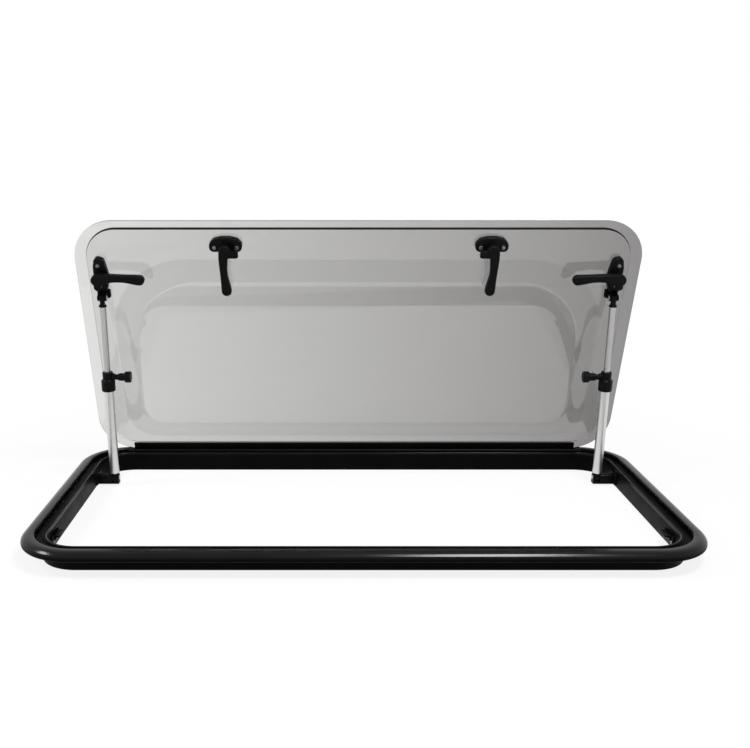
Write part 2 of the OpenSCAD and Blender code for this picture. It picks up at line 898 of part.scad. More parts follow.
outer_frame();
frame_seal();
frame_hinge_rail();
hinge_cap(-1);  // left_hinge_cap
hinge_cap(1);  // right_hinge_cap
sash_outer_pane();
sash_inner_pane();
sash_weld_seam();
sash_hinge_rail();
on_top_latch(-1) top_latch_base();  // top_left_latch_base
on_top_latch(1) top_latch_base();  // top_right_latch_base
on_side_latch(-1) side_latch_base(-1);  // left_latch_base
on_side_latch(1) side_latch_base(1);  // right_latch_base
on_top_latch(-1) latch_lever(top_tongue_len, -1);  // top_left_latch_lever
on_top_latch(1) latch_lever(top_tongue_len, 1);  // top_right_latch_lever
on_side_latch(-1) latch_lever(side_tongue_len, 1);  // left_latch_lever
on_side_latch(1) latch_lever(side_tongue_len, -1);  // right_latch_lever
union() {  // top_latch_screws
    on_top_latch(-1) latch_screws();
    on_top_latch(1) latch_screws();
}
union() {  // side_latch_screws
    on_side_latch(-1) latch_screws();
    on_side_latch(1) latch_screws();
}
stay_clevis(-1);  // left_stay_clevis
stay_clevis(1);  // right_stay_clevis
stay_rivets(-1);  // left_stay_rivets
stay_rivets(1);  // right_stay_rivets
stay_rod(-1);  // left_stay_rod
stay_rod(1);  // right_stay_rod
rod_end(-1);  // left_rod_end
rod_end(1);  // right_rod_end
stay_tube(-1);  // left_stay_tube
stay_tube(1);  // right_stay_tube
stay_foot(-1);  // left_stay_foot
stay_foot(1);  // right_stay_foot
stay_clamp(-1);  // left_stay_clamp
stay_clamp(1);  // right_stay_clamp
clamp_knob(-1);  // left_clamp_knob
clamp_knob(1);  // right_clamp_knob
stay_bracket(-1);  // left_stay_bracket
stay_bracket(1);  // right_stay_bracket
foot_pin(-1);  // left_foot_pin
foot_pin(1);  // right_foot_pin
on_front_wall(-1) keeper(top_ledge);  // top_left_keeper
on_front_wall(1) keeper(top_ledge);  // top_right_keeper
on_side_wall(-1) keeper(side_ledge);  // left_keeper
on_side_wall(1) keeper(side_ledge);  // right_keeper
keeper_screws();
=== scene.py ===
"""Finished looks of a top-hung caravan window: moulded frame, double acrylic sash, stays, latches.

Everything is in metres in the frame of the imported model: X along the hinge, -Y towards the
sash's free edge, +Z outdoors. The sash is drawn closed and swung open about its hinge. Lists of
bare numbers are in millimetres and become metres through in_mm.
"""

import json
import math

import bmesh
import bpy
from bpy.props import FloatProperty, FloatVectorProperty, PointerProperty
from mathutils import Matrix, Vector


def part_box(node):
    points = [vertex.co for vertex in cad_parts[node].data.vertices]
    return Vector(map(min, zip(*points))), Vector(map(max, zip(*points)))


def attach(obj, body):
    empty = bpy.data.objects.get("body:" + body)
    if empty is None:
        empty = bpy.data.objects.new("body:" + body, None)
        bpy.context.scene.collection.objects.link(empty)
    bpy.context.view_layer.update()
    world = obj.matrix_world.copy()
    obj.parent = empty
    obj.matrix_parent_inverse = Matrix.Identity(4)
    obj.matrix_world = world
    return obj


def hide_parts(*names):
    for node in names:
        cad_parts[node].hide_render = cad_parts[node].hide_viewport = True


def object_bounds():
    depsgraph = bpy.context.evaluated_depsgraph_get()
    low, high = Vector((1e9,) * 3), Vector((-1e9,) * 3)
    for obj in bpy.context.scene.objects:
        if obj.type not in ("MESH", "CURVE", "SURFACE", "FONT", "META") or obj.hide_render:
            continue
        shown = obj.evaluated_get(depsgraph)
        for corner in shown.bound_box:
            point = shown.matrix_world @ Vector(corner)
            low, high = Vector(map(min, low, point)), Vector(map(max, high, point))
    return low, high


bl_info = {
    "name": "Caravan window",
    "version": (1, 0, 0),
    "blender": (4, 5, 0),
    "location": "View3D > Sidebar > Window",
    "description": "Builds the pieces and finishes of a top-hung caravan window",
    "category": "Object",
}

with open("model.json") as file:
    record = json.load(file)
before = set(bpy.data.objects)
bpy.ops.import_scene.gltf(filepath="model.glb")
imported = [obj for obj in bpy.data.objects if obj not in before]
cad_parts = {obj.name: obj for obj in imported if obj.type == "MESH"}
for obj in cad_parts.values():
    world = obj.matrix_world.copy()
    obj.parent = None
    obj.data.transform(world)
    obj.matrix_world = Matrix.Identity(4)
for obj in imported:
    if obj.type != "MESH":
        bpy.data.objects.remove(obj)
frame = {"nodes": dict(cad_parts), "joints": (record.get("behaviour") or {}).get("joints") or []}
CAD_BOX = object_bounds()

MM = 0.001
SIDES = (("left", -1), ("right", 1))


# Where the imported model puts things


def joint(name):
    """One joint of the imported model, by name."""
    return next(j for j in frame["joints"] if j["name"] == name)


def span(node):
    """Lowest and highest corner of a node as vectors."""
    low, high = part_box(node)
    return Vector(low), Vector(high)


HINGE = Vector(joint("sash_hinge")["pos_m"])
OPEN = -math.radians(joint("sash_hinge")["range_deg"][0])
SASH = Matrix.Translation(HINGE) @ Matrix.Rotation(-OPEN, 4, "X") @ Matrix.Translation(-HINGE)
FRAME_HIGH = span("outer_frame")[1]

# Name of a latch, the way its lever turns, and its turn about the sash's normal in degrees
LATCHES = (
    ("top_left", -1, 180),
    ("top_right", 1, 180),
    ("left", 1, 90),
    ("right", -1, -90),
)


def stay_place(side):
    """Matrix that puts what is drawn along +Z from the lower pivot on a stay."""
    foot = Vector(joint(side + "_stay_pivot")["pos_m"])
    along = Vector(joint(side + "_rod_slide")["axis"])
    return Matrix.Translation(foot) @ Matrix.Rotation(math.atan2(-along.y, along.z), 4, "X")


def latch_place(name, degrees):
    """Matrix for a latch drawn with its edge of the sash at +Y and the room at -Z."""
    spindle = SASH.inverted() @ Vector(joint(name + "_latch_turn")["pos_m"])
    return SASH @ Matrix.Translation(spindle) @ turn(degrees, "Z")


def closed_pane():
    """Outer pane's half width, free edge, hinge edge and inner face, as if the sash were closed."""
    back = SASH.inverted()
    points = [back @ v.co for v in frame["nodes"]["sash_outer_pane"].data.vertices]
    return (
        max(p.x for p in points),
        min(p.y for p in points),
        max(p.y for p in points),
        min(p.z for p in points),
    )


def hinge_relief():
    """Ends along X of what is cut away round the hinge rail and its caps."""
    clear = 0.3 * MM
    return span("left_hinge_cap")[0].x - clear, span("right_hinge_cap")[1].x + clear


# Settings shown in the sidebar


def length(name, description, millimetres):
    """A length setting in metres, given in millimetres."""
    return FloatProperty(
        name=name,
        description=description,
        default=millimetres * MM,
        subtype="DISTANCE",
        unit="LENGTH",
    )


def colour(name, description, hex_value):
    """A colour setting, given as an sRGB hex value."""
    return FloatVectorProperty(
        name=name,
        description=description,
        default=linear(hex_value),
        size=4,
        min=0.0,
        max=1.0,
        subtype="COLOR",
    )


def linear(hex_value):
    """Turns an sRGB hex colour into linear RGBA."""
    channels = [int(hex_value[i : i + 2], 16) / 255 for i in (1, 3, 5)]
    return [c / 12.92 if c <= 0.04045 else ((c + 0.055) / 1.055) ** 2.4 for c in channels] + [1.0]


class FrameSettings(bpy.types.PropertyGroup):
    """Sizes and colours of the moulded frame and its seal."""

    corner: length("Corner radius", "Outer corner radius of the frame", 95)
    bead_width: length("Bead width", "Width of the raised outer bead", 21)
    bead_height: length("Bead height", "Height of the bead above the flange's underside", 14)
    lip_height: length("Lip height", "Height of the inner lip above the channel", 6)
    lip_width: length("Lip width", "Width of the inner lip", 3)
    sleeve_depth: length("Sleeve depth", "Depth of the sleeve below the flange", 26)
    sleeve_wall: length("Sleeve wall", "Thickness of the sleeve", 8)
    flange_overlap: length("Flange overlap", "Reach of the flange past the sleeve", 31)
    flange_thickness: length("Flange thickness", "Thickness of the flange under the channel", 4)
    drain_length: length("Drain slot", "Length of the drain slot in the front bead", 44)
    plastic: colour("Frame plastic", "Moulded ASA of the frame", "#060607")
    rubber: colour("Seal rubber", "Extruded EPDM of the seal", "#060606")
    strip: colour("Hinge strip", "Extruded hinge sections", "#070707")


class SashSettings(bpy.types.PropertyGroup):
    """Sizes and colours of the double acrylic sash."""

    corner: length("Corner radius", "Corner radius of the outer pane", 72)
    rim: length("Rim", "Rim of the outer pane past the inner pane at the hinge", 18)
    rim_side: length("Side rim", "Rim of the outer pane at its two sides", 22)
    rim_free: length("Free rim", "Rim of the outer pane at its free edge", 15)
    pane: length("Pane thickness", "Thickness of each pane", 3)
    dish_depth: length("Dish depth", "Depth of the inner pane's dish", 10)
    dish_side: length("Dish side margin", "Flat margin at the sides of the dish", 53)
    dish_top: length("Dish top margin", "Flat margin at the free edge", 68)
    dish_bottom: length("Dish bottom margin", "Flat margin at the hinge", 27)
    dish_slope: length("Dish slope", "Width of the dish's slope", 46)
    # The two tints are the pane's own grey with painted light and shade across it: paler at the
    # left edge, darker at the right
    tint_left_with_light: colour("Left tint", "Smoke grey of the outer pane at its left edge", "#DFDFDE")
    tint_right_with_shade: colour("Right tint", "Smoke grey of the outer pane at its right edge", "#8B8989")
    inner: colour("Inner pane", "Nearly clear acrylic of the inner pane", "#F7F7F6")
    # The dish slope's tint is painted shade on the inner pane where it slopes
    slope: colour("Dish slope tint", "Inner pane where it slopes into the dish", "#DEDEDD")
    rim_edge: colour("Pane edge", "Sawn and polished edge of the outer pane", "#6E6E6E")
    seam: colour("Weld seam", "Dark bonded line round the inner pane", "#1A1B1D")


class FittingSettings(bpy.types.PropertyGroup):
    """Sizes and colours of the latches, keepers and stays."""

    lever_length: length("Lever length", "Length of a latch lever from its spindle", 83)
    lever_thickness: length("Lever thickness", "Thickness of a latch lever", 11)
    base_thickness: length("Base thickness", "Thickness of a latch base", 12)
    standoff: length("Lever standoff", "Gap between a base and its lever", 10)
    screw_pitch: length("Screw spacing", "Spacing of a latch's two screws", 39)
    tube_diameter: length("Tube diameter", "Outer diameter of a stay's tube", 17.5)
    rod_diameter: length("Rod diameter", "Diameter of a stay's rod", 11)
    plastic: colour("Fitting plastic", "Glass-filled nylon of latches and stay ends", "#080809")
    tube: colour("Tube", "Satin anodised aluminium", "#D6D6D5")
    rod: colour("Rod", "Drawn aluminium rod", "#B4B4B3")
    screw: colour("Screws", "Worn blackened steel screws", "#77787A")
    pin: colour("Pins", "Bright zinc-plated pins", "#C4C6C8")


class StageSettings(bpy.types.PropertyGroup):
    """Colours of the floor and the backdrop."""

    backdrop: colour("Backdrop", "Plain white floor and backdrop", "#FFFFFF")
    floor: colour("Floor", "White floor as the light sees it", "#F0F0F0")


def mm_of(group, *names):
    """Length settings of a group in millimetres."""
    return [getattr(group, name) / MM for name in names]


# Outlines


def in_mm(points):
    """Points given in millimetres, in metres."""
    return [tuple(c * MM for c in point) for point in points]


def around(steps):
    """Angles of a full turn in even steps."""
    return [2 * math.pi * i / steps for i in range(steps)]


def arc(cx, cy, rx, ry, start, end, steps):
    """Points along an ellipse's arc, angles in degrees."""
    angles = [math.radians(start + (end - start) * i / steps) for i in range(steps + 1)]
    return [(cx + rx * math.cos(a), cy + ry * math.sin(a)) for a in angles]


def bowed(first, last, bulge, shares):
    """Points on a shallow bow from one point to another, bulged to the left of the way."""
    dx, dy = last[0] - first[0], last[1] - first[1]
    rise = 4 * bulge / math.hypot(dx, dy)
    return [
        (first[0] + dx * t - dy * rise * t * (1 - t), first[1] + dy * t + dx * rise * t * (1 - t))
        for t in shares
    ]


def rounded_box(x0, x1, y0, y1, radius_low, radius_high, steps=24):
    """Rectangle with one radius at its two low corners and another at its two high ones."""
    lo, hi = radius_low, radius_high
    return (
        arc(x1 - hi, y1 - hi, hi, hi, 0, 90, steps)
        + arc(x0 + hi, y1 - hi, hi, hi, 90, 180, steps)
        + arc(x0 + lo, y0 + lo, lo, lo, 180, 270, steps)
        + arc(x1 - lo, y0 + lo, lo, lo, 270, 360, steps)
    )


def corners(x0, x1, y0, y1, low_radius, high_radius):
    """Corners of a rectangle for soften, one radius for the two low ones and one for the high."""
    return [
        (x0, y0, low_radius),
        (x1, y0, low_radius),
        (x1, y1, high_radius),
        (x0, y1, high_radius),
    ]


def soften(points, steps=6):
    """Rounds a polygon's corners, each given as (x, y, radius)."""
    out = []
    count = len(points)
    for i, (x, y, radius) in enumerate(points):
        here = Vector((x, y))
        back = (Vector(points[i - 1][:2]) - here).normalized()
        ahead = (Vector(points[(i + 1) % count][:2]) - here).normalized()
        half = back.angle(ahead) / 2
        if radius <= 0 or half > math.radians(89.5):
            out.append((x, y))
            continue
        reach = radius / math.tan(half)
        centre = here + (back + ahead).normalized() * (radius / math.sin(half))
        first = here + back * reach - centre
        step = (math.pi - 2 * half) / steps
        sign = 1 if first.cross(here + ahead * reach - centre) > 0 else -1
        for k in range(steps + 1):
            point = centre + Matrix.Rotation(sign * step * k, 2) @ first
            out.append((point.x, point.y))
    return out


def inset(points, distance):
    """Moves a counter-clockwise outline inwards by a distance."""
    out = []
    count = len(points)
    for i, point in enumerate(points):
        here = Vector(point)
        first = here - Vector(points[i - 1])
        second = Vector(points[(i + 1) % count]) - here
        if first.length < 1e-9 or second.length < 1e-9:
            out.append(tuple(here))
            continue
        normal = (first.normalized() + second.normalized()).normalized()
        out.append((here.x - normal.y * distance, here.y + normal.x * distance))
    return out


def mirrored(outline, way):
    """The outline itself for way 1, its mirror image in X for way -1."""
    return outline if way > 0 else [(-x, y) for x, y in reversed(outline)]


# Meshes

# Turn a drawn outline upright, so that its thickness runs along Y or along X
FACING_Y = Matrix(((1, 0, 0, 0), (0, 0, 1, 0), (0, 1, 0, 0), (0, 0, 0, 1)))
FACING_X = Matrix(((0, 0, 1, 0), (1, 0, 0, 0), (0, 1, 0, 0), (0, 0, 0, 1)))


def shift(x=0.0, y=0.0, z=0.0):
    """A plain move."""
    return Matrix.Translation((x, y, z))


def turn(degrees, axis):
    """A plain turn."""
    return Matrix.Rotation(math.radians(degrees), 4, axis)


def moved(verts, place):
    """Moves fresh vertices by a matrix."""
    if place is not None:
        for v in verts:
            v.co = place @ v.co
    return verts


def rings(mesh, loops, closed=False):
    """Joins loops of points, all of one length, with quads, and caps the two open ends."""
    made = [[mesh.verts.new(p) for p in loop] for loop in loops]
    count = len(made[0])
    pairs = list(zip(made, made[1:]))
    if closed:
        pairs.append((made[-1], made[0]))
    for low, high in pairs:
        for i in range(count):
            j = (i + 1) % count
            mesh.faces.new((low[i], low[j], high[j], high[i]))
    if not closed:
        mesh.faces.new(list(reversed(made[0])))
        mesh.faces.new(made[-1])
    return [v for loop in made for v in loop]


def slab(mesh, outline, low, high, edge_low=0.0, edge_high=0.0, place=None, steps=4):
    """A plate with the given outline and rounded edges, from low to high along Z."""
    quarter = [math.pi / 2 * k / steps for k in range(steps + 1)]
    curve = [(1 - math.sin(a), 1 - math.cos(a)) for a in quarter]
    levels = [(edge_low * d, low + edge_low * h) for d, h in curve] if edge_low else [(0.0, low)]
    if edge_high:
        levels += [(edge_high * h, high - edge_high * d) for d, h in curve]
    else:
        levels.append((0.0, high))
    loops = [[Vector((x, y, z)) for x, y in inset(outline, d)] for d, z in levels]
    return moved(rings(mesh, loops), place)


def prism(mesh, outline, x0, x1, place=None):
    """A prism along X with an outline of (y, z) points."""
    return moved(rings(mesh, [[Vector((x, y, z)) for y, z in outline] for x in (x0, x1)]), place)


def turned(mesh, profile, place=None, steps=40):
    """A solid of revolution about Z from (radius, z) points, closed at both ends."""
    loops = [
        [Vector((r * math.cos(a), r * math.sin(a), z)) for a in around(steps)] for r, z in profile
    ]
    return moved(rings(mesh, loops), place)


def tube(mesh, profile, place=None, steps=40):
    """A hollow solid of revolution from a closed (radius, z) section."""
    loops = [
        [Vector((r * math.cos(a), r * math.sin(a), z)) for r, z in profile] for a in around(steps)
    ]
    return moved(rings(mesh, loops, closed=True), place)


def smooth(data, degrees):
    """Smooth shading with sharp edges above an angle."""
    data.polygons.foreach_set("use_smooth", [True] * len(data.polygons))
    data.set_sharp_from_angle(angle=math.radians(degrees))


def drawn(name, mesh):
    """A linked object from a bmesh, which it uses up."""
    bmesh.ops.recalc_face_normals(mesh, faces=mesh.faces)
    data = bpy.data.meshes.new(name)
    mesh.to_mesh(data)
    mesh.free()
    obj = bpy.data.objects.new(name, data)
    bpy.context.scene.collection.objects.link(obj)
    return obj


# Slot of each kind of finish
FINISH = {}


def piece(name, mesh, body, kind, *instead):
    """Makes a piece from a bmesh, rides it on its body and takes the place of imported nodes."""
    bmesh.ops.remove_doubles(mesh, verts=mesh.verts, dist=1e-7)
    obj = drawn(name, mesh)
    smooth(obj.data, 35)
    obj.data.materials.append(FINISH[kind])
    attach(obj, body)
    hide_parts(*instead)
    return obj


def carve(obj, mesh):
    """Cuts a bmesh out of a piece for good."""
    cutter = drawn("cutter", mesh)
    cut = obj.modifiers.new("Cut", "BOOLEAN")
    cut.operation = "DIFFERENCE"
    cut.solver = "EXACT"
    cut.object = cutter
    bpy.context.view_layer.update()
    whole = obj.evaluated_get(bpy.context.evaluated_depsgraph_get())
    result = bpy.data.meshes.new_from_object(whole)
    obj.modifiers.clear()
    old, tool = obj.data, cutter.data
    obj.data = result
    bpy.data.objects.remove(cutter)
    bpy.data.meshes.remove(old)
    bpy.data.meshes.remove(tool)


def dress(node, kind):
    """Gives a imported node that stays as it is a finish."""
    data = frame["nodes"][node].data
    data.materials.clear()
    data.materials.append(FINISH[kind])


# Shader nodes


def add(tree, kind, inputs=None, **values):
    """Adds a node with its settings, socket values and links."""
    made = tree.nodes.new(kind)
    for key, value in values.items():
        setattr(made, key, value)
    for key, value in (inputs or {}).items():
        if isinstance(value, bpy.types.NodeSocket):
            tree.links.new(value, made.inputs[key])
        else:
            made.inputs[key].default_value = value
    return made


def blank(name):
    """An empty node material with its tree and its output node."""
    made = bpy.data.materials.get(name)
    if made:
        bpy.data.materials.remove(made)
    made = bpy.data.materials.new(name)
    made.use_nodes = True
    made.node_tree.nodes.clear()
    return made, made.node_tree, made.node_tree.nodes.new("ShaderNodeOutputMaterial")


def noise(tree, place, size_mm, detail, roughness=0.5):
    """Noise of a real size."""
    scale = 1 / (size_mm * MM)
    sockets = {"Vector": place, "Scale": scale, "Detail": detail, "Roughness": roughness}
    return add(tree, "ShaderNodeTexNoise", sockets).outputs["Fac"]


def bumped(tree, height, strength, depth_mm):
    """Normals raised by a height of a real depth."""
    sockets = {"Height": height, "Strength": strength, "Distance": depth_mm * MM}
    return add(tree, "ShaderNodeBump", sockets).outputs["Normal"]


def mapped(tree, value, start, end, first, last, **values):
    """A value carried from one range to another."""
    sockets = {"Value": value, "From Min": start, "From Max": end, "To Min": first, "To Max": last}
    return add(tree, "ShaderNodeMapRange", sockets, **values).outputs["Result"]


def combined(tree, operation, first, second):
    """Two values taken together by a math node's operation."""
    return add(tree, "ShaderNodeMath", {0: first, 1: second}, operation=operation).outputs[0]


def mixed(tree, share, first, second):
    """Two shaders mixed by a share of the second."""
    return add(tree, "ShaderNodeMixShader", {"Fac": share, 1: first, 2: second}).outputs["Shader"]


def seen(tree):
    """One for what the camera, a mirror or a pane shows, none for what only lights the object."""
    ray = add(tree, "ShaderNodeLightPath").outputs
    either = combined(tree, "MAXIMUM", ray["Is Camera Ray"], ray["Is Glossy Ray"])
    return combined(tree, "MAXIMUM", either, ray["Is Transmission Ray"])


def lighter(base, factor):
    """A colour made lighter or darker by a factor."""
    return [min(1.0, c * factor) for c in base[:3]] + [1.0]


def two_tones(tree, value, first, second, start=0.0, end=1.0):
    """A ramp between two colours."""
    ramp = add(tree, "ShaderNodeValToRGB", {"Fac": value})
    for element, tone, position in zip(ramp.color_ramp.elements, (first, second), (start, end)):
        element.color, element.position = tone, position
    return ramp.outputs["Color"]


# Materials


def grained(name, base, roughness, grain_mm, depth_mm, level=0.08, dull_below=None, sheen=0.0):
    """A moulded or extruded polymer with a fine grain, duller below a height if one is given."""
    made, tree, out = blank(name)
    place = add(tree, "ShaderNodeTexCoord").outputs["Object"]
    grain = noise(tree, place, grain_mm, 3.0, 0.6)
    cloud_mm, spread = 60, 1.35
    cloud = noise(tree, place, cloud_mm, 4.0)
    gloss = mapped(tree, cloud, 0.3, 0.7, roughness * 0.9, roughness * 1.12)
    if dull_below is not None:
        height = add(tree, "ShaderNodeSeparateXYZ", {"Vector": place}).outputs["Z"]
        fade, rougher, weaker = 2 * MM, 2.6, 0.2
        zone = dull_below - fade, dull_below + fade
        gloss = combined(tree, "MULTIPLY", gloss, mapped(tree, height, *zone, rougher, 1.0))
        level = mapped(tree, height, *zone, level * weaker, level)
    sockets = {
        "Base Color": two_tones(
            tree, cloud, lighter(base, 1 / spread), lighter(base, spread), 0.35, 0.7
        ),
        "Roughness": gloss,
        "Specular IOR Level": level,
        "Sheen Weight": sheen,
        "Normal": bumped(tree, grain, 0.35, depth_mm),
    }
    shader = add(tree, "ShaderNodeBsdfPrincipled", sockets)
    tree.links.new(shader.outputs["BSDF"], out.inputs["Surface"])
    return made


def drawn_metal(name, base, roughness, line_mm, depth_mm):
    """A metal drawn or brushed along Z, with fine lengthwise lines."""
    made, tree, out = blank(name)
    place = add(tree, "ShaderNodeTexCoord").outputs["Object"]
    lengthwise = (1.0, 1.0, 0.02)
    stretched = add(tree, "ShaderNodeMapping", {"Vector": place, "Scale": lengthwise})
    lines = noise(tree, stretched.outputs["Vector"], line_mm, 2.0)
    sockets = {
        "Base Color": two_tones(tree, lines, lighter(base, 0.88), lighter(base, 1.06), 0.3, 0.75),
        "Metallic": 1.0,
        "Roughness": roughness,
        "Normal": bumped(tree, lines, 0.3, depth_mm),
    }
    shader = add(tree, "ShaderNodeBsdfPrincipled", sockets)
    tree.links.new(shader.outputs["BSDF"], out.inputs["Surface"])
    return made


def polished_acrylic(name, tint, roughness=0.02):
    """Acrylic sheet, polished and open to the lamps' light. tint(tree, place) gives its colour."""
    made, tree, out = blank(name)
    place = add(tree, "ShaderNodeTexCoord").outputs["Object"]
    tone = tint(tree, place)
    wave_mm, wave_depth_mm = 90, 0.2
    sockets = {
        "Base Color": tone,
        "Roughness": roughness,
        "IOR": 1.49,
        "Specular IOR Level": 0.35,
        "Transmission Weight": 1.0,
        "Normal": bumped(tree, noise(tree, place, wave_mm, 1.0), 0.1, wave_depth_mm),
    }
    sheet = add(tree, "ShaderNodeBsdfPrincipled", sockets).outputs["BSDF"]
    clear = add(tree, "ShaderNodeBsdfTransparent", {"Color": tone}).outputs["BSDF"]
    shadow = add(tree, "ShaderNodeLightPath").outputs["Is Shadow Ray"]
    tree.links.new(mixed(tree, shadow, sheet, clear), out.inputs["Surface"])
    return made


def painted_shade_across(left, right, half_width):
    """Tint that deepens along X, as painted shade that darkens the pane towards the right."""

    def tint(tree, place):
        across = add(tree, "ShaderNodeSeparateXYZ", {"Vector": place}).outputs["X"]
        return two_tones(
            tree, mapped(tree, across, -half_width, half_width, 0.0, 1.0), left, right
        )

    return tint


def painted_slope_shade(flat, slope):
    """Tint that is deeper where the mesh's own attribute says it slopes: painted shade along the
    dish's slope.
    """

    def tint(tree, place):
        slope_shade_mask = add(tree, "ShaderNodeAttribute", attribute_name="slope").outputs["Fac"]
        return two_tones(tree, slope_shade_mask, flat, slope)

    return tint


def even_tint(tone):
    """The same tint all over."""
    return lambda tree, place: tone


class WINDOW_OT_finishes(bpy.types.Operator):
    """Materials of the frame, the seal, the panes and the fittings"""

    bl_idname = "window.finishes"
    bl_label = "Finishes"
    bl_options = {"REGISTER", "UNDO"}

    def execute(self, context):
        moulding = context.scene.window_frame
        sash = context.scene.window_sash
        fitting = context.scene.window_fittings
        # ASA moulding: near black, satin on top of the bead, dull in the channel and on the sleeve
        satin_from = moulding.sleeve_depth + 6.5 * MM
        FINISH["frame"] = grained(
            "moulded_asa_satin", list(moulding.plastic), 0.18, 0.9, 0.006, 0.15, satin_from
        )
        # Extruded EPDM: dull black, slightly powdery
        FINISH["rubber"] = grained(
            "extruded_epdm", list(moulding.rubber), 0.6, 0.6, 0.006, 0.03, sheen=0.02
        )
        # Extruded PVC hinge sections: flatter black than the frame
        FINISH["strip"] = grained("extruded_pvc_hinge", list(moulding.strip), 0.45, 1.2, 0.02)
        # Glass-filled nylon: black, a little uneven in gloss from the fibres
        FINISH["fitting"] = grained(
            "moulded_nylon_glass_filled", list(fitting.plastic), 0.36, 0.7, 0.03
        )
        # Blackened steel: dark with a metallic glint on edges and recess
        FINISH["screw"] = drawn_metal("blackened_steel_screw", list(fitting.screw), 0.38, 0.4, 0.01)
        # Zinc-plated steel: bright and slightly grey
        FINISH["pin"] = drawn_metal("zinc_plated_steel", list(fitting.pin), 0.3, 0.3, 0.01)
        # Anodised aluminium tube: pale satin with fine extrusion lines
        FINISH["tube"] = drawn_metal("anodised_aluminium_tube", list(fitting.tube), 0.34, 0.5, 0.01)
        # Drawn aluminium rod: greyer than the tube and smoother along its length
        FINISH["rod"] = drawn_metal("drawn_aluminium_rod", list(fitting.rod), 0.26, 0.4, 0.01)
        # Cast acrylic of the outer pane: smoky grey and polished; its deepening towards the right
        # is painted shade
        grey_and_painted_shade = painted_shade_across(list(sash.tint_left_with_light), list(sash.tint_right_with_shade), closed_pane()[0])
        FINISH["outer"] = polished_acrylic("tinted_cast_acrylic_painted_shade", grey_and_painted_shade)
        # Thermoformed acrylic of the inner pane: nearly clear, with painted shade that greys it on
        # the slope of the dish
        formed = painted_slope_shade(list(sash.inner), list(sash.slope))
        FINISH["inner"] = polished_acrylic("clear_formed_acrylic_slope_shade", formed)
        # Edge of the outer pane: darker, because one looks along the sheet
        FINISH["edge"] = polished_acrylic("acrylic_edge", even_tint(list(sash.rim_edge)), 0.15)
        # Bonded seam: dark solvent-welded line
        FINISH["seam"] = grained("bonded_seam", list(sash.seam), 0.4, 0.8, 0.02)
        return {"FINISHED"}


# Frame


def round_frame(section, corner, steps=28):
    """Loops of a section of (inset, height) points, carried round the rounded frame."""
    half_x, half_y = FRAME_HIGH.x, FRAME_HIGH.y
    stations = []
    for sx, sy, start in ((1, 1, 0), (-1, 1, 90), (-1, -1, 180), (1, -1, 270)):
        cx, cy = sx * (half_x - corner), sy * (half_y - corner)
        for k in range(steps + 1):
            stations.append((cx, cy, math.radians(start + 90 * k / steps)))
    return [
        [
            Vector((cx + (corner - i) * math.cos(a), cy + (corner - i) * math.sin(a), z))
            for i, z in section
        ]
        for cx, cy, a in stations
    ]


class WINDOW_OT_frame(bpy.types.Operator):
    """Moulded frame with bead, channel, lip, sleeve, drain slot and hinge relief"""

    bl_idname = "window.frame"
    bl_label = "Moulded frame"
    bl_options = {"REGISTER", "UNDO"}

    def execute(self, context):
        of = context.scene.window_frame
        base, bead, rise, floor = mm_of(
            of, "sleeve_depth", "bead_width", "bead_height", "flange_thickness"
        )
        overlap, sleeve, lip, lip_rise = mm_of(
            of, "flange_overlap", "sleeve_wall", "lip_width", "lip_height"
        )
        top, channel, wall = base + rise, base + floor, overlap + sleeve
        lip_from = wall - lip
        # The bead's round shoulder has a flatter band, which holds the lamp's highlight
        reach, foot, bulge = bead * 0.66, 4, 0.03
        shoulder = reach, base + foot, reach, rise - foot
        flank, crown = arc(*shoulder, 180, 150, 6), arc(*shoulder, 130, 90, 8)
        band = bowed(flank[-1], crown[0], bulge, (0.04, 0.28, 0.5, 0.72, 0.96))
        section = (
            [(3, base), (1.2, base + 0.3), (0.3, base + 1.2), (0, base + 3)]
            + flank[1:]
            + band
            + crown
            + arc(bead - 3, top - 3, 3, 3, 90, 0, 6)
            + arc(bead + 0.8, channel + 0.8, 0.8, 0.8, 180, 270, 3)
            + arc(lip_from - 0.8, channel + 0.8, 0.8, 0.8, 270, 360, 3)
            + arc(lip_from + lip / 2, channel + lip_rise - lip / 2, lip / 2, lip / 2, 180, 0, 8)
            + [(wall, base + 1), (wall, 1.2), (wall - 0.4, 0.3), (wall - 1.4, 0)]
            + [(overlap + 1.4, 0), (overlap + 0.4, 0.3), (overlap, 1.2)]
            + [(overlap, base - 1.2), (overlap - 0.5, base)]
        )
        mesh = bmesh.new()
        rings(mesh, round_frame(in_mm(section), of.corner), closed=True)
        moulding = piece("moulded_frame", mesh, "frame", "frame", "outer_frame")

        x0, x1 = hinge_relief()
        barrel = span("frame_hinge_rail")[1].y - HINGE.y + 0.3 * MM
        cutter = bmesh.new()
        circle = [
            (HINGE.y + barrel * math.cos(a), HINGE.z + barrel * math.sin(a)) for a in around(32)
        ]
        prism(cutter, circle, x0, x1)
        carve(moulding, cutter)
        # Room for the sash's hinge section as it swings up
        cutter = bmesh.new()
        back, above = HINGE.y + 11.5 * MM, HINGE.z + 50 * MM
        room = [(HINGE.y, HINGE.z), (back, HINGE.z), (back, above), (HINGE.y, above)]
        prism(cutter, room, x0, x1)
        carve(moulding, cutter)
        cutter = bmesh.new()
        half, drain_x, drain_depth = of.drain_length / 2, -249 * MM, 1.5 * MM
        slot = soften(corners(-half, half, 0, 2.4 * MM, MM, MM))
        at = shift(drain_x, -FRAME_HIGH.y + bead * 0.7 * MM, 0)
        slab(cutter, slot, top * MM - drain_depth, top * MM + 2 * MM, place=at)
        carve(moulding, cutter)
        smooth(moulding.data, 35)
        return {"FINISHED"}


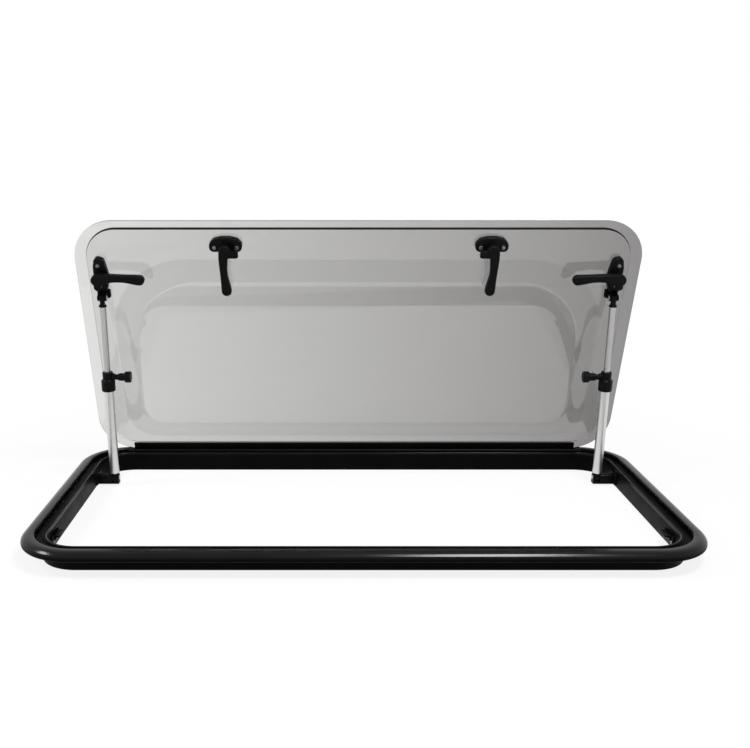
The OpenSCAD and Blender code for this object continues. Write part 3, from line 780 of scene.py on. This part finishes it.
class WINDOW_OT_seal(bpy.types.Operator):
    """Rubber seal in the channel, broken at the hinge"""

    bl_idname = "window.seal"
    bl_label = "Rubber seal"
    bl_options = {"REGISTER", "UNDO"}

    def execute(self, context):
        of = context.scene.window_frame
        base, floor, overlap, sleeve, lip = mm_of(
            of, "sleeve_depth", "flange_thickness", "flange_overlap", "sleeve_wall", "lip_width"
        )
        channel = base + floor
        inner = overlap + sleeve - lip - 0.3
        outer, ridge = inner - 8.5, inner - 2.6
        section = (
            [(outer, channel + 0.1), (outer + 0.1, channel + 0.9)]
            + arc(ridge - 2.2, channel + 2.9, 2.0, 1.3, 250, 350, 5)
            + arc(ridge + 1.3, channel + 5.1, 1.3, 1.3, 180, 0, 8)
            + [(inner, channel + 0.1)]
        )
        mesh = bmesh.new()
        rings(mesh, round_frame(in_mm(section), of.corner), closed=True)
        seal = piece("channel_seal", mesh, "frame", "rubber", "frame_seal")
        cutter = bmesh.new()
        y0, y1 = span("frame_hinge_rail")[0].y - MM, FRAME_HIGH.y - 20 * MM
        above = 50 * MM
        prism(cutter, [(y0, 0.0), (y1, 0.0), (y1, above), (y0, above)], *hinge_relief())
        carve(seal, cutter)
        smooth(seal.data, 40)
        return {"FINISHED"}


class WINDOW_OT_hinge(bpy.types.Operator):
    """Finishes of the hinge sections on the frame and the sash, and of the end caps"""

    bl_idname = "window.hinge"
    bl_label = "Hinge"
    bl_options = {"REGISTER", "UNDO"}

    def execute(self, context):
        for node in ("frame_hinge_rail", "sash_hinge_rail"):
            dress(node, "strip")
        for node in ("left_hinge_cap", "right_hinge_cap"):
            dress(node, "frame")
        return {"FINISHED"}


# Sash


class WINDOW_OT_outer_pane(bpy.types.Operator):
    """Flat outer pane with a darker edge"""

    bl_idname = "window.outer_pane"
    bl_label = "Outer pane"
    bl_options = {"REGISTER", "UNDO"}

    def execute(self, context):
        of = context.scene.window_sash
        half, free, hinge, face = closed_pane()
        mesh = bmesh.new()
        outline = rounded_box(-half, half, free, hinge, of.corner, of.corner, 32)
        slab(mesh, outline, face, face + of.pane, 0.5 * MM, 0.5 * MM, SASH)
        pane = piece("outer_pane", mesh, "sash", "outer", "sash_outer_pane")
        pane.data.materials.append(FINISH["edge"])
        outwards = SASH.to_3x3() @ Vector((0, 0, 1))
        for side in pane.data.polygons:
            side.material_index = 1 if abs(side.normal.dot(outwards)) < 0.75 else 0
        return {"FINISHED"}


class WINDOW_OT_inner_pane(bpy.types.Operator):
    """Dished inner pane and the bonded seam round it"""

    bl_idname = "window.inner_pane"
    bl_label = "Inner pane"
    bl_options = {"REGISTER", "UNDO"}

    def execute(self, context):
        of = context.scene.window_sash
        half, free, hinge, face = closed_pane()
        corner = of.corner - of.rim
        edges = -half + of.rim_side, half - of.rim_side, free + of.rim_free, hinge - of.rim
        top = face - 0.15 * MM
        mouth = half - of.dish_side
        y0, y1 = free + of.dish_top, hinge - of.dish_bottom
        radius_low, radius_high, steps = 140 * MM, 60 * MM, 18
        levels = [(0.0, rounded_box(*edges, corner, corner))]
        for k in range(steps + 1):
            t = k / steps
            s = of.dish_slope * t
            box = rounded_box(
                -mouth + s, mouth - s, y0 + s, y1 - s, radius_low - s / 2, radius_high - s / 2
            )
            levels.append((of.dish_depth * t * t * (3 - 2 * t), box))
        upper = [[Vector((x, y, top - d)) for x, y in loop] for d, loop in levels]
        lower = [[Vector((x, y, top - of.pane - d)) for x, y in loop] for d, loop in levels]
        mesh = bmesh.new()
        moved(rings(mesh, list(reversed(upper)) + lower), SASH)
        pane = piece("inner_pane", mesh, "sash", "inner", "sash_inner_pane")
        # Marks the slope of the dish, where the tint is darkened as painted shade
        slope_shade_mask = pane.data.attributes.new("slope", "FLOAT", "POINT")
        back = SASH.inverted()
        for v, mark in zip(pane.data.vertices, slope_shade_mask.data):
            z = (back @ v.co).z
            depth = min(top - z, top - of.pane - z, key=lambda d: abs(d - of.dish_depth / 2))
            mark.value = 1.0 if 0.02 < depth / of.dish_depth < 0.98 else 0.0

        # Seam: a flat band under the outer pane, bevelled towards the inner pane's edge
        near, band = 0.1 * MM, 3 * MM
        loops = []
        for out, drop in ((near, 0.1), (band, 0.1), (band, 0.6), (band * 0.6, 1.2), (near, 1.4)):
            sideways, radius = 0.35 * out, corner + out
            outline = rounded_box(
                edges[0] - sideways,
                edges[1] + sideways,
                edges[2] - out,
                edges[3] + out,
                radius,
                radius,
            )
            loops.append([Vector((x, y, face - drop * MM)) for x, y in outline])
        mesh = bmesh.new()
        moved(rings(mesh, loops, closed=True), SASH)
        piece("weld_seam", mesh, "sash", "seam", "sash_weld_seam")
        return {"FINISHED"}


# Latches and keepers

FLIP = turn(180, "X")
# Lobes round the screws and a blunt peak towards the sash's edge
TOP_BASE = (
    (-28.5, -8, 8),
    (28.5, -8, 8),
    (28.5, 6.5, 7),
    (21, 14.5, 5),
    (8, 18, 4),
    (-8, 18, 4),
    (-21, 14.5, 5),
    (-28.5, 6.5, 7),
)
# Rounded narrow end away from the stay and a square end towards it
SIDE_BASE = (
    (-29, -11.5, 1.5),
    (-12, -15.6, 10),
    (4, -15.8, 8),
    (31, -10.5, 7),
    (36, 5, 7),
    (16, 9, 8),
    (-29, 9, 1.5),
)
# Raised ring round a screw in a base
SCREW_SEAT = ((4.2, -1), (6.4, -1), (6.4, 0.3), (6, 0.7), (4.6, 0.7), (4.2, 0.3))
# Ring moulded into a lever over its spindle
SPINDLE_RING = ((6.4, -1), (6.4, 0), (5.8, 0.3), (3.4, 0.3), (3.2, -0.2))


def cross_screw(mesh, radius, place):
    """A low pan-head screw with a cross recess, its face towards +Z."""
    high = 1.1 * MM
    dome = ((0.9, -0.6), (1, 0), (1, 0.3), (0.86, 0.8), (0.6, 1), (0.3, 1))
    turned(mesh, [(radius * r, high * z) for r, z in dome], place, 28)
    arm, half = radius * 0.62, radius * 0.13
    bar = [(-arm, -half), (arm, -half), (arm, half), (-arm, half)]
    for degrees in (20, 110):
        slab(mesh, bar, high * 0.9, high * 1.03, place=place @ turn(degrees, "Z"))


def lever_outline(way, tip_mm):
    """Long lever: a nearly straight back, a hollowed edge and a round tip."""
    k = tip_mm / 83
    right = [
        (8.6, -6 * k, 3),
        (4.6, -13 * k, 9),
        (2.9, -32 * k, 60),
        (3.1, -47 * k, 60),
        (7.6, -66 * k, 14),
    ]
    tip = [(x, y, 0) for x, y in arc(0, 8.7 - tip_mm, 8.7, 8.7, 10, -180, 18)]
    left = [(-9.4, -47 * k, 60), (-11.2, -15 * k, 12), (-10.9, -6 * k, 4)]
    hub = [(x, y, 0) for x, y in arc(0, 0, 10.5, 10.5, 180, 0, 16)]
    outline = soften(in_mm(right + tip + left + hub))
    return mirrored(list(reversed(outline)), way)


def tongue_outline(way, reach, middle):
    """Tongue under a lever, from the spindle to its reach, with bevelled corners."""
    low, high, bevel = middle - 6.5, middle + 6.5, 3
    points = [
        (0, low, 0),
        (reach - bevel, low, 2),
        (reach, low + 2, 2),
        (reach, high - 2, 2),
        (reach - bevel, high, 2),
        (0, high, 0),
    ]
    return mirrored(soften(in_mm(points), 4), way)


class WINDOW_OT_latches(bpy.types.Operator):
    """Four turn latches: base, screws and the long lever with its tongue"""

    bl_idname = "window.latches"
    bl_label = "Latches"
    bl_options = {"REGISTER", "UNDO"}

    def execute(self, context):
        of = context.scene.window_fittings
        deep, thick, half_pitch = of.base_thickness, of.lever_thickness, of.screw_pitch / 2
        face = -(deep + of.standoff)
        for name, way, degrees in LATCHES:
            place = latch_place(name, degrees)
            on_base = place @ shift(z=-deep) @ FLIP
            top = name.startswith("top")
            outline = soften(in_mm(TOP_BASE if top else SIDE_BASE), 8)
            if not top:
                outline = mirrored(outline, -way)
            mesh = bmesh.new()
            slab(mesh, outline, -deep, 0.0, 1.6 * MM, 0.0, place)
            for s in (-1, 1):
                tube(mesh, in_mm(SCREW_SEAT), place @ shift(s * half_pitch, 0, -deep) @ FLIP, 32)
            turned(mesh, in_mm([(9.5, -1), (9.5, 0), (9.1, 0.15)]), on_base, 36)
            piece(name + "_latch_plate", mesh, "sash", "fitting", name + "_latch_base")

            mesh = bmesh.new()
            outline = lever_outline(way, of.lever_length / MM)
            slab(mesh, outline, face - thick, face, 2.4 * MM, 1.4 * MM, place, 5)
            spindle = in_mm([(7.4, 0), (8, 0.5), (8, of.standoff / MM + 1)])
            turned(mesh, spindle, place @ shift(z=-deep - 0.2 * MM) @ FLIP, 36)
            turned(mesh, in_mm(SPINDLE_RING), place @ shift(z=face - thick) @ FLIP, 32)
            tongue = tongue_outline(way, *((23, -5.5) if top else (18, 0)))
            slab(mesh, tongue, face - 9.5 * MM, face - 3.5 * MM, 1.2 * MM, 0.8 * MM, place)
            piece(name + "_latch_handle", mesh, name + "_latch", "fitting", name + "_latch_lever")
        for group, members in (
            ("top_latch_screws", LATCHES[:2]),
            ("side_latch_screws", LATCHES[2:]),
        ):
            mesh = bmesh.new()
            for name, _, degrees in members:
                for s in (-1, 1):
                    spot = latch_place(name, degrees) @ shift(s * half_pitch, 0, -deep)
                    cross_screw(mesh, 3.5 * MM, spot @ FLIP)
            piece(group + "_heads", mesh, "sash", "screw", group)
        return {"FINISHED"}


class WINDOW_OT_keepers(bpy.types.Operator):
    """Four ledges on the sleeve that the latches' tongues turn under"""

    bl_idname = "window.keepers"
    bl_label = "Keepers"
    bl_options = {"REGISTER", "UNDO"}

    def execute(self, context):
        plate_t, ledge_t, half_ledge, rib, half_pitch = 3 * MM, 3.5 * MM, 13 * MM, MM, 15 * MM
        screws = bmesh.new()
        for name, degrees in (("top_left", 0), ("top_right", 0), ("left", -90), ("right", 90)):
            low, high = span(name + "_keeper")
            size, middle = high - low, (low + high) / 2
            deep, half = size.y, size.x / 2
            place = shift(middle.x, low.y, 0)
            if degrees:
                deep, half = size.x, size.y / 2
                wall = low.x if degrees < 0 else high.x
                place = shift(wall, middle.y, 0) @ turn(degrees, "Z")
            mesh = bmesh.new()
            plate = soften(corners(-half, half, low.z, high.z, 2 * MM, 0.6 * MM), 5)
            slab(mesh, plate, 0.0, plate_t, 0.0, 0.6 * MM, place @ FACING_Y)
            ledge = soften(corners(-half_ledge, half_ledge, 0.5 * MM, deep, 0, 4 * MM))
            slab(mesh, ledge, high.z - ledge_t, high.z, 0.8 * MM, 0.8 * MM, place)
            y, z = 2 * MM, high.z - 2 * MM
            web = [(y, high.z - 12 * MM), (deep - 5 * MM, z), (y, z)]
            for x in (1.6 * MM - half_ledge, half_ledge - 1.6 * MM):
                prism(mesh, web, x - rib, x + rib, place)
            piece(name + "_keeper_ledge", mesh, "frame", "fitting", name + "_keeper")
            for s in (-1, 1):
                spot = shift(s * half_pitch, plate_t, (low.z + high.z - ledge_t) / 2)
                cross_screw(screws, 3.4 * MM, place @ spot @ turn(-90, "X"))
        piece("keeper_screw_heads", screws, "frame", "screw", "keeper_screws")
        return {"FINISHED"}


# Stays, in millimetres from the lower pivot

EYE_WIDTH, EYE_RADIUS = 8, 7
EAR_FROM, EAR_TO = 5, 8
FORK_RADIUS = 5.5
TUBE_FROM, TUBE_TO, TUBE_WALL = 9, 189, 1.5
CLAMP_FROM = 171
# Y and Z of the forks' pivots on the closed sash
FORK_CLOSED = (-103 * MM, 18.5 * MM)


def eye(mesh, place, radius, chamfer):
    """Round eye about X at a pivot."""
    half = EYE_WIDTH / 2
    profile = [
        (radius - chamfer, -half),
        (radius, chamfer - half),
        (radius, half - chamfer),
        (radius - chamfer, half),
    ]
    turned(mesh, in_mm(profile), place @ turn(90, "Y"))


class WINDOW_OT_tubes(bpy.types.Operator):
    """Grooved tubes of the two stays, each on its foot"""

    bl_idname = "window.tubes"
    bl_label = "Stay tubes"
    bl_options = {"REGISTER", "UNDO"}

    def execute(self, context):
        outer = context.scene.window_fittings.tube_diameter / 2 / MM
        bore, low, high, bevel = outer - TUBE_WALL, TUBE_FROM, TUBE_TO, 0.3
        # Even steps, with the groove's two edges between 264 and 276 degrees
        angles = [6 * i for i in range(45)] + [265.4, 266.2, 273.8, 274.6]
        angles += [276 + 6 * i for i in range(14)]
        for side, _ in SIDES:
            place = stay_place(side)
            loops = []
            for a in angles:
                skin = outer - 0.9 if 266 < a < 274 else outer
                c, d = math.cos(math.radians(a)), math.sin(math.radians(a))
                section = (
                    (bore, low),
                    (skin - bevel, low),
                    (skin, low + bevel),
                    (skin, high - bevel),
                    (skin - bevel, high),
                    (bore, high),
                )
                loops.append([Vector((r * c, r * d, z)) * MM for r, z in section])
            mesh = bmesh.new()
            moved(rings(mesh, loops, closed=True), place)
            piece(side + "_tube", mesh, side + "_stay", "tube", side + "_stay_tube")

            mesh = bmesh.new()
            eye(mesh, place, EYE_RADIUS, 0.5)
            slab(mesh, soften(in_mm(corners(-4, 4, -6, 6, 2, 2)), 5), 0.0, 8.6 * MM, place=place)
            rim, plug = outer - 0.2, bore - 0.1
            collar = [(outer - 0.8, 8), (rim, 8.3), (rim, 8.9), (plug, 9), (plug, 17)]
            turned(mesh, in_mm(collar), place, 48)
            piece(side + "_foot", mesh, side + "_stay", "fitting", side + "_stay_foot")
        return {"FINISHED"}


class WINDOW_OT_clamps(bpy.types.Operator):
    """Stepped clamps on the tubes' ends, with their fluted knobs"""

    bl_idname = "window.clamps"
    bl_label = "Clamps and knobs"
    bl_options = {"REGISTER", "UNDO"}

    def execute(self, context):
        tube_d, rod_d = mm_of(context.scene.window_fittings, "tube_diameter", "rod_diameter")
        seat, bore = tube_d / 2 + 0.05, rod_d / 2 + 0.4
        body, nose = 12.5, 9.5
        # Radius and height above the clamp's lower end
        section = [
            (seat, 0),
            (body - 0.8, 0),
            (body, 0.8),
            (body, 20),
            (body - 1, 21),
            (nose + 0.6, 21.2),
            (nose, 22),
            (nose, 35),
            (nose - 1, 36),
            (bore, 36),
            (bore, 18),
            (seat, 18),
        ]
        shank = [(4.9, 12.7), (5.25, 13), (5.25, 19.6), (6.6, 20), (7, 20.4), (7, 32)]
        # Distance from the stay's axis and what the grip's radius of 10.25 loses there
        grip = ((31.5, 0.9), (32.3, 0.1), (33, 0.0), (41.3, 0.0), (42.2, 0.6), (42.5, 1.6))
        flutes, flute_depth = 8, 1.3
        for side, s in SIDES:
            place = stay_place(side)
            inwards = place @ shift(z=(CLAMP_FROM + 26) * MM) @ turn(-90 * s, "Y")
            mesh = bmesh.new()
            tube(mesh, in_mm([(r, CLAMP_FROM + z) for r, z in section]), place, 56)
            turned(mesh, in_mm([(7, 8.9), (7, 12), (6.5, 12.5)]), inwards, 36)
            piece(side + "_clamp", mesh, side + "_stay", "fitting", side + "_stay_clamp")

            mesh = bmesh.new()
            turned(mesh, in_mm(shank), inwards)
            loops = []
            for level, shrink in grip:
                loop = []
                for a in around(96):
                    r = 10.25 - shrink - max(0.0, math.cos(flutes * a)) ** 2 * flute_depth
                    loop.append(Vector((r * math.cos(a), r * math.sin(a), level)) * MM)
                loops.append(loop)
            moved(rings(mesh, loops), inwards)
            button = in_mm([(5.5, 41.65), (5.5, 42.15), (5, 42.45)])
            turned(mesh, button, inwards, 32)
            piece(side + "_knob_grip", mesh, side + "_knob", "fitting", side + "_clamp_knob")
        return {"FINISHED"}


class WINDOW_OT_rods(bpy.types.Operator):
    """Rods of the two stays, each with its plastic end"""

    bl_idname = "window.rods"
    bl_label = "Stay rods"
    bl_options = {"REGISTER", "UNDO"}

    def execute(self, context):
        radius = context.scene.window_fittings.rod_diameter / 2
        for side, _ in SIDES:
            place = stay_place(side)
            back = place.inverted()
            foot = place.translation
            reach = (SASH @ Vector((foot.x, *FORK_CLOSED)) - foot).length
            solid = frame["nodes"][side + "_stay_rod"].data.vertices
            start = min((back @ v.co).z for v in solid)
            bevel, end = 0.6 * MM, reach - 13.6 * MM
            profile = [(radius - bevel, start), (radius, start + bevel), (radius, end)]
            mesh = bmesh.new()
            turned(mesh, profile, place, 48)
            piece(side + "_rod_metal", mesh, side + "_rod", "rod", side + "_stay_rod")

            top = place @ shift(z=reach)
            mesh = bmesh.new()
            turned(mesh, in_mm([(6.4, -16.5), (7, -16), (7, -13.2), (6.2, -12.5)]), top)
            slab(mesh, soften(in_mm(corners(-4, 4, -5, 5, 2, 2)), 5), -13 * MM, 0.0, place=top)
            eye(mesh, top, EYE_RADIUS - 1, 0.4)
            piece(side + "_rod_eye", mesh, side + "_rod", "fitting", side + "_rod_end")
        return {"FINISHED"}


class WINDOW_OT_forks(bpy.types.Operator):
    """Forks on the sash for the rods' eyes, with their rivet ends"""

    bl_idname = "window.forks"
    bl_label = "Upper forks"
    bl_options = {"REGISTER", "UNDO"}

    def execute(self, context):
        y, z = FORK_CLOSED
        inner = closed_pane()[3] - context.scene.window_sash.pane
        drop, radius = inner - z, FORK_RADIUS * MM
        ear = [(-radius, -3 * MM)] + arc(0, -drop, radius, radius, 180, 360, 14)
        ear += [(radius, -3 * MM)]
        plate = soften(in_mm(corners(-12, 12, -8.6, 8.3, 1, 4)))
        head = EAR_TO
        rivet = [(2.4, EAR_FROM + 0.1), (2.5, head), (4, head), (4, head + 0.4)]
        rivet += [(3.2, head + 1), (1.6, head + 1.2)]
        for side, _ in SIDES:
            on_pane = SASH @ shift(stay_place(side).translation.x, y, inner)
            mesh = bmesh.new()
            slab(mesh, plate, -4 * MM, 0.0, MM, 0.0, on_pane)
            for low, high in ((-EAR_TO, -EAR_FROM), (EAR_FROM, EAR_TO)):
                upright = on_pane @ FACING_X
                slab(mesh, ear, low * MM, high * MM, 0.5 * MM, 0.5 * MM, upright, 3)
            piece(side + "_fork", mesh, "sash", "fitting", side + "_stay_clevis")

            mesh = bmesh.new()
            for way in (-1, 1):
                turned(mesh, in_mm(rivet), on_pane @ shift(z=-drop) @ turn(90 * way, "Y"), 28)
            piece(side + "_fork_rivets", mesh, "sash", "pin", side + "_stay_rivets")
        return {"FINISHED"}


class WINDOW_OT_brackets(bpy.types.Operator):
    """Brackets on the sleeve for the stays' feet, with their pins"""

    bl_idname = "window.brackets"
    bl_label = "Stay brackets"
    bl_options = {"REGISTER", "UNDO"}

    def execute(self, context):
        radius, near, far = EYE_RADIUS * MM, EAR_FROM * MM, EAR_TO * MM
        end = EAR_TO
        pin = [(2.2, -end), (2.5, 0.3 - end), (2.5, end), (4, end), (4, end + 0.6)]
        pin += [(3.3, end + 1.3), (1.8, end + 1.5)]
        for side, s in SIDES:
            foot = stay_place(side).translation
            low, high = span(side + "_stay_bracket")
            floor, x = low.z, abs(foot.x)
            wall = high.x if s > 0 else -low.x
            local = shift(0, foot.y, 0) @ Matrix.Diagonal((s, 1, 1, 1))
            upright = local @ FACING_X
            mesh = bmesh.new()
            plate = soften(corners(-17 * MM, 17 * MM, floor, floor + 22 * MM, 3 * MM, 3 * MM))
            slab(mesh, plate, wall - 3 * MM, wall, 0.8 * MM, 0.0, upright)
            shelf = [
                (x - far, -radius, 0.5 * MM),
                (wall - MM, -radius, 0),
                (wall - MM, radius, 0),
                (x - far, radius, 0.5 * MM),
            ]
            slab(mesh, soften(shelf, 4), floor, floor + 3 * MM, 0.5 * MM, 0.3 * MM, local)
            ear = [(radius, floor + 0.5 * MM)] + arc(0, foot.z, radius, radius, 0, 180, 16)
            ear += [(-radius, floor + 0.5 * MM)]
            for x0, x1 in ((x - far, x - near), (x + near, wall - MM)):
                slab(mesh, ear, x0, x1, 0.5 * MM, 0.5 * MM, upright, 3)
            piece(side + "_bracket", mesh, "frame", "fitting", side + "_stay_bracket")

            mesh = bmesh.new()
            turned(mesh, in_mm(pin), shift(*foot) @ turn(-90 * s, "Y"), 32)
            piece(side + "_pin", mesh, "frame", "pin", side + "_foot_pin")
        return {"FINISHED"}


# Stage

# Name, place, aim, size and watts of each lamp
LAMPS = (
    ("key_lamp", (0.53, -0.77, 1.87), (0.17, -0.26, 0.04), (0.55, 0.3), 28),
    ("fill_lamp", (-1.95, -0.25, 1.5), (-0.2, -0.1, 0.1), (0.45, 0.4), 18),
)
# Camera fitted to the photograph: focal length, centre and size of the picture in its pixels
FOCAL, CENTRE_X, CENTRE_Y, WIDE, TALL = 909.94, 323.03, 374.0, 750.0, 748.0
# Its downward tilt, and its place in millimetres from the middle of the frame's front edge
CAMERA_PITCH = math.radians(12.819)
CAMERA_X, CAMERA_Y, CAMERA_Z = -61.9, -1221.55, 584.2
SENSOR = 36.0


class WINDOW_OT_stage(bpy.types.Operator):
    """White floor and backdrop, two soft lamps and the camera at the photograph's angle"""

    bl_idname = "window.stage"
    bl_label = "Stage"
    bl_options = {"REGISTER", "UNDO"}

    def execute(self, context):
        scene = context.scene
        of = scene.window_stage
        # Floor: white where it is seen, with the object's shadow near the object
        made, tree, out = blank("white_floor_paint")
        diffuse = add(tree, "ShaderNodeBsdfDiffuse", {"Color": list(of.floor)}).outputs["BSDF"]
        glow = add(tree, "ShaderNodeEmission", {"Color": list(of.backdrop), "Strength": 1.0})
        place = add(tree, "ShaderNodeTexCoord").outputs["Object"]
        away = add(tree, "ShaderNodeVectorMath", {0: place}, operation="LENGTH").outputs["Value"]
        near, far, least = 0.6, 1.1, 0.86
        whiter = mapped(tree, away, near, far, least, 1.0, interpolation_type="SMOOTHSTEP")
        share = combined(tree, "MULTIPLY", seen(tree), whiter)
        both = mixed(tree, share, diffuse, glow.outputs["Emission"])
        tree.links.new(both, out.inputs["Surface"])
        mesh = bmesh.new()
        bmesh.ops.create_grid(mesh, x_segments=2, y_segments=2, size=6)
        floor = drawn("floor", mesh)
        floor.data.materials.append(made)
        floor.location.z = CAD_BOX[0][2] - 0.5 * MM

        world = bpy.data.worlds.new("white_room")
        world.use_nodes = True
        tree = world.node_tree
        tree.nodes.clear()
        out = tree.nodes.new("ShaderNodeOutputWorld")
        dim, bright = [
            add(tree, "ShaderNodeBackground", {"Color": list(of.backdrop), "Strength": strength})
            for strength in (0.45, 1.0)
        ]
        both = mixed(tree, seen(tree), dim.outputs["Background"], bright.outputs["Background"])
        tree.links.new(both, out.inputs["Surface"])
        scene.world = world

        for name, spot, aim, size, watts in LAMPS:
            lamp = bpy.data.lights.new(name, "AREA")
            lamp.shape = "RECTANGLE"
            lamp.size, lamp.size_y = size
            lamp.energy = watts
            obj = bpy.data.objects.new(name, lamp)
            obj.location = spot
            obj.rotation_euler = (Vector(aim) - Vector(spot)).to_track_quat("-Z", "Y").to_euler()
            scene.collection.objects.link(obj)

        camera = bpy.data.cameras.new("camera")
        camera.sensor_fit = "HORIZONTAL"
        camera.sensor_width = SENSOR
        camera.lens = FOCAL * SENSOR / WIDE
        camera.shift_x = -(CENTRE_X - WIDE / 2) / WIDE
        camera.shift_y = (CENTRE_Y - TALL / 2) / WIDE
        obj = bpy.data.objects.new("camera", camera)
        obj.location = (CAMERA_X * MM, -FRAME_HIGH.y + CAMERA_Y * MM, CAMERA_Z * MM)
        obj.rotation_euler = (math.pi / 2 - CAMERA_PITCH, 0, 0)
        scene.collection.objects.link(obj)
        scene.camera = obj
        scene.view_settings.view_transform = "Standard"
        return {"FINISHED"}


# Panel and registration


class WINDOW_PT_panel(bpy.types.Panel):
    """Lists the window's settings and building steps"""

    bl_idname = "WINDOW_PT_panel"
    bl_label = "Caravan window"
    bl_space_type = "VIEW_3D"
    bl_region_type = "UI"
    bl_category = "Window"

    def draw(self, context):
        for name, group in GROUPS:
            column = self.layout.box().column(align=True)
            for key in group.__annotations__:
                column.prop(getattr(context.scene, name), key)
        for step in STEPS:
            self.layout.operator(step.bl_idname)


GROUPS = (
    ("window_frame", FrameSettings),
    ("window_sash", SashSettings),
    ("window_fittings", FittingSettings),
    ("window_stage", StageSettings),
)
STEPS = (
    WINDOW_OT_finishes,
    WINDOW_OT_stage,
    WINDOW_OT_frame,
    WINDOW_OT_seal,
    WINDOW_OT_hinge,
    WINDOW_OT_outer_pane,
    WINDOW_OT_inner_pane,
    WINDOW_OT_latches,
    WINDOW_OT_keepers,
    WINDOW_OT_tubes,
    WINDOW_OT_clamps,
    WINDOW_OT_rods,
    WINDOW_OT_forks,
    WINDOW_OT_brackets,
)


def register():
    """Registers the settings, steps and panel."""
    for name, group in GROUPS:
        bpy.utils.register_class(group)
        setattr(bpy.types.Scene, name, PointerProperty(type=group))
    for step in STEPS:
        bpy.utils.register_class(step)
    bpy.utils.register_class(WINDOW_PT_panel)


def unregister():
    """Removes what register added."""
    bpy.utils.unregister_class(WINDOW_PT_panel)
    for step in reversed(STEPS):
        bpy.utils.unregister_class(step)
    for name, group in reversed(GROUPS):
        delattr(bpy.types.Scene, name)
        bpy.utils.unregister_class(group)


def main():
    """Builds the window step by step."""
    register()
    for step in STEPS:
        family, name = step.bl_idname.split(".")
        getattr(getattr(bpy.ops, family), name)()


if __name__ == "__main__":
    main()
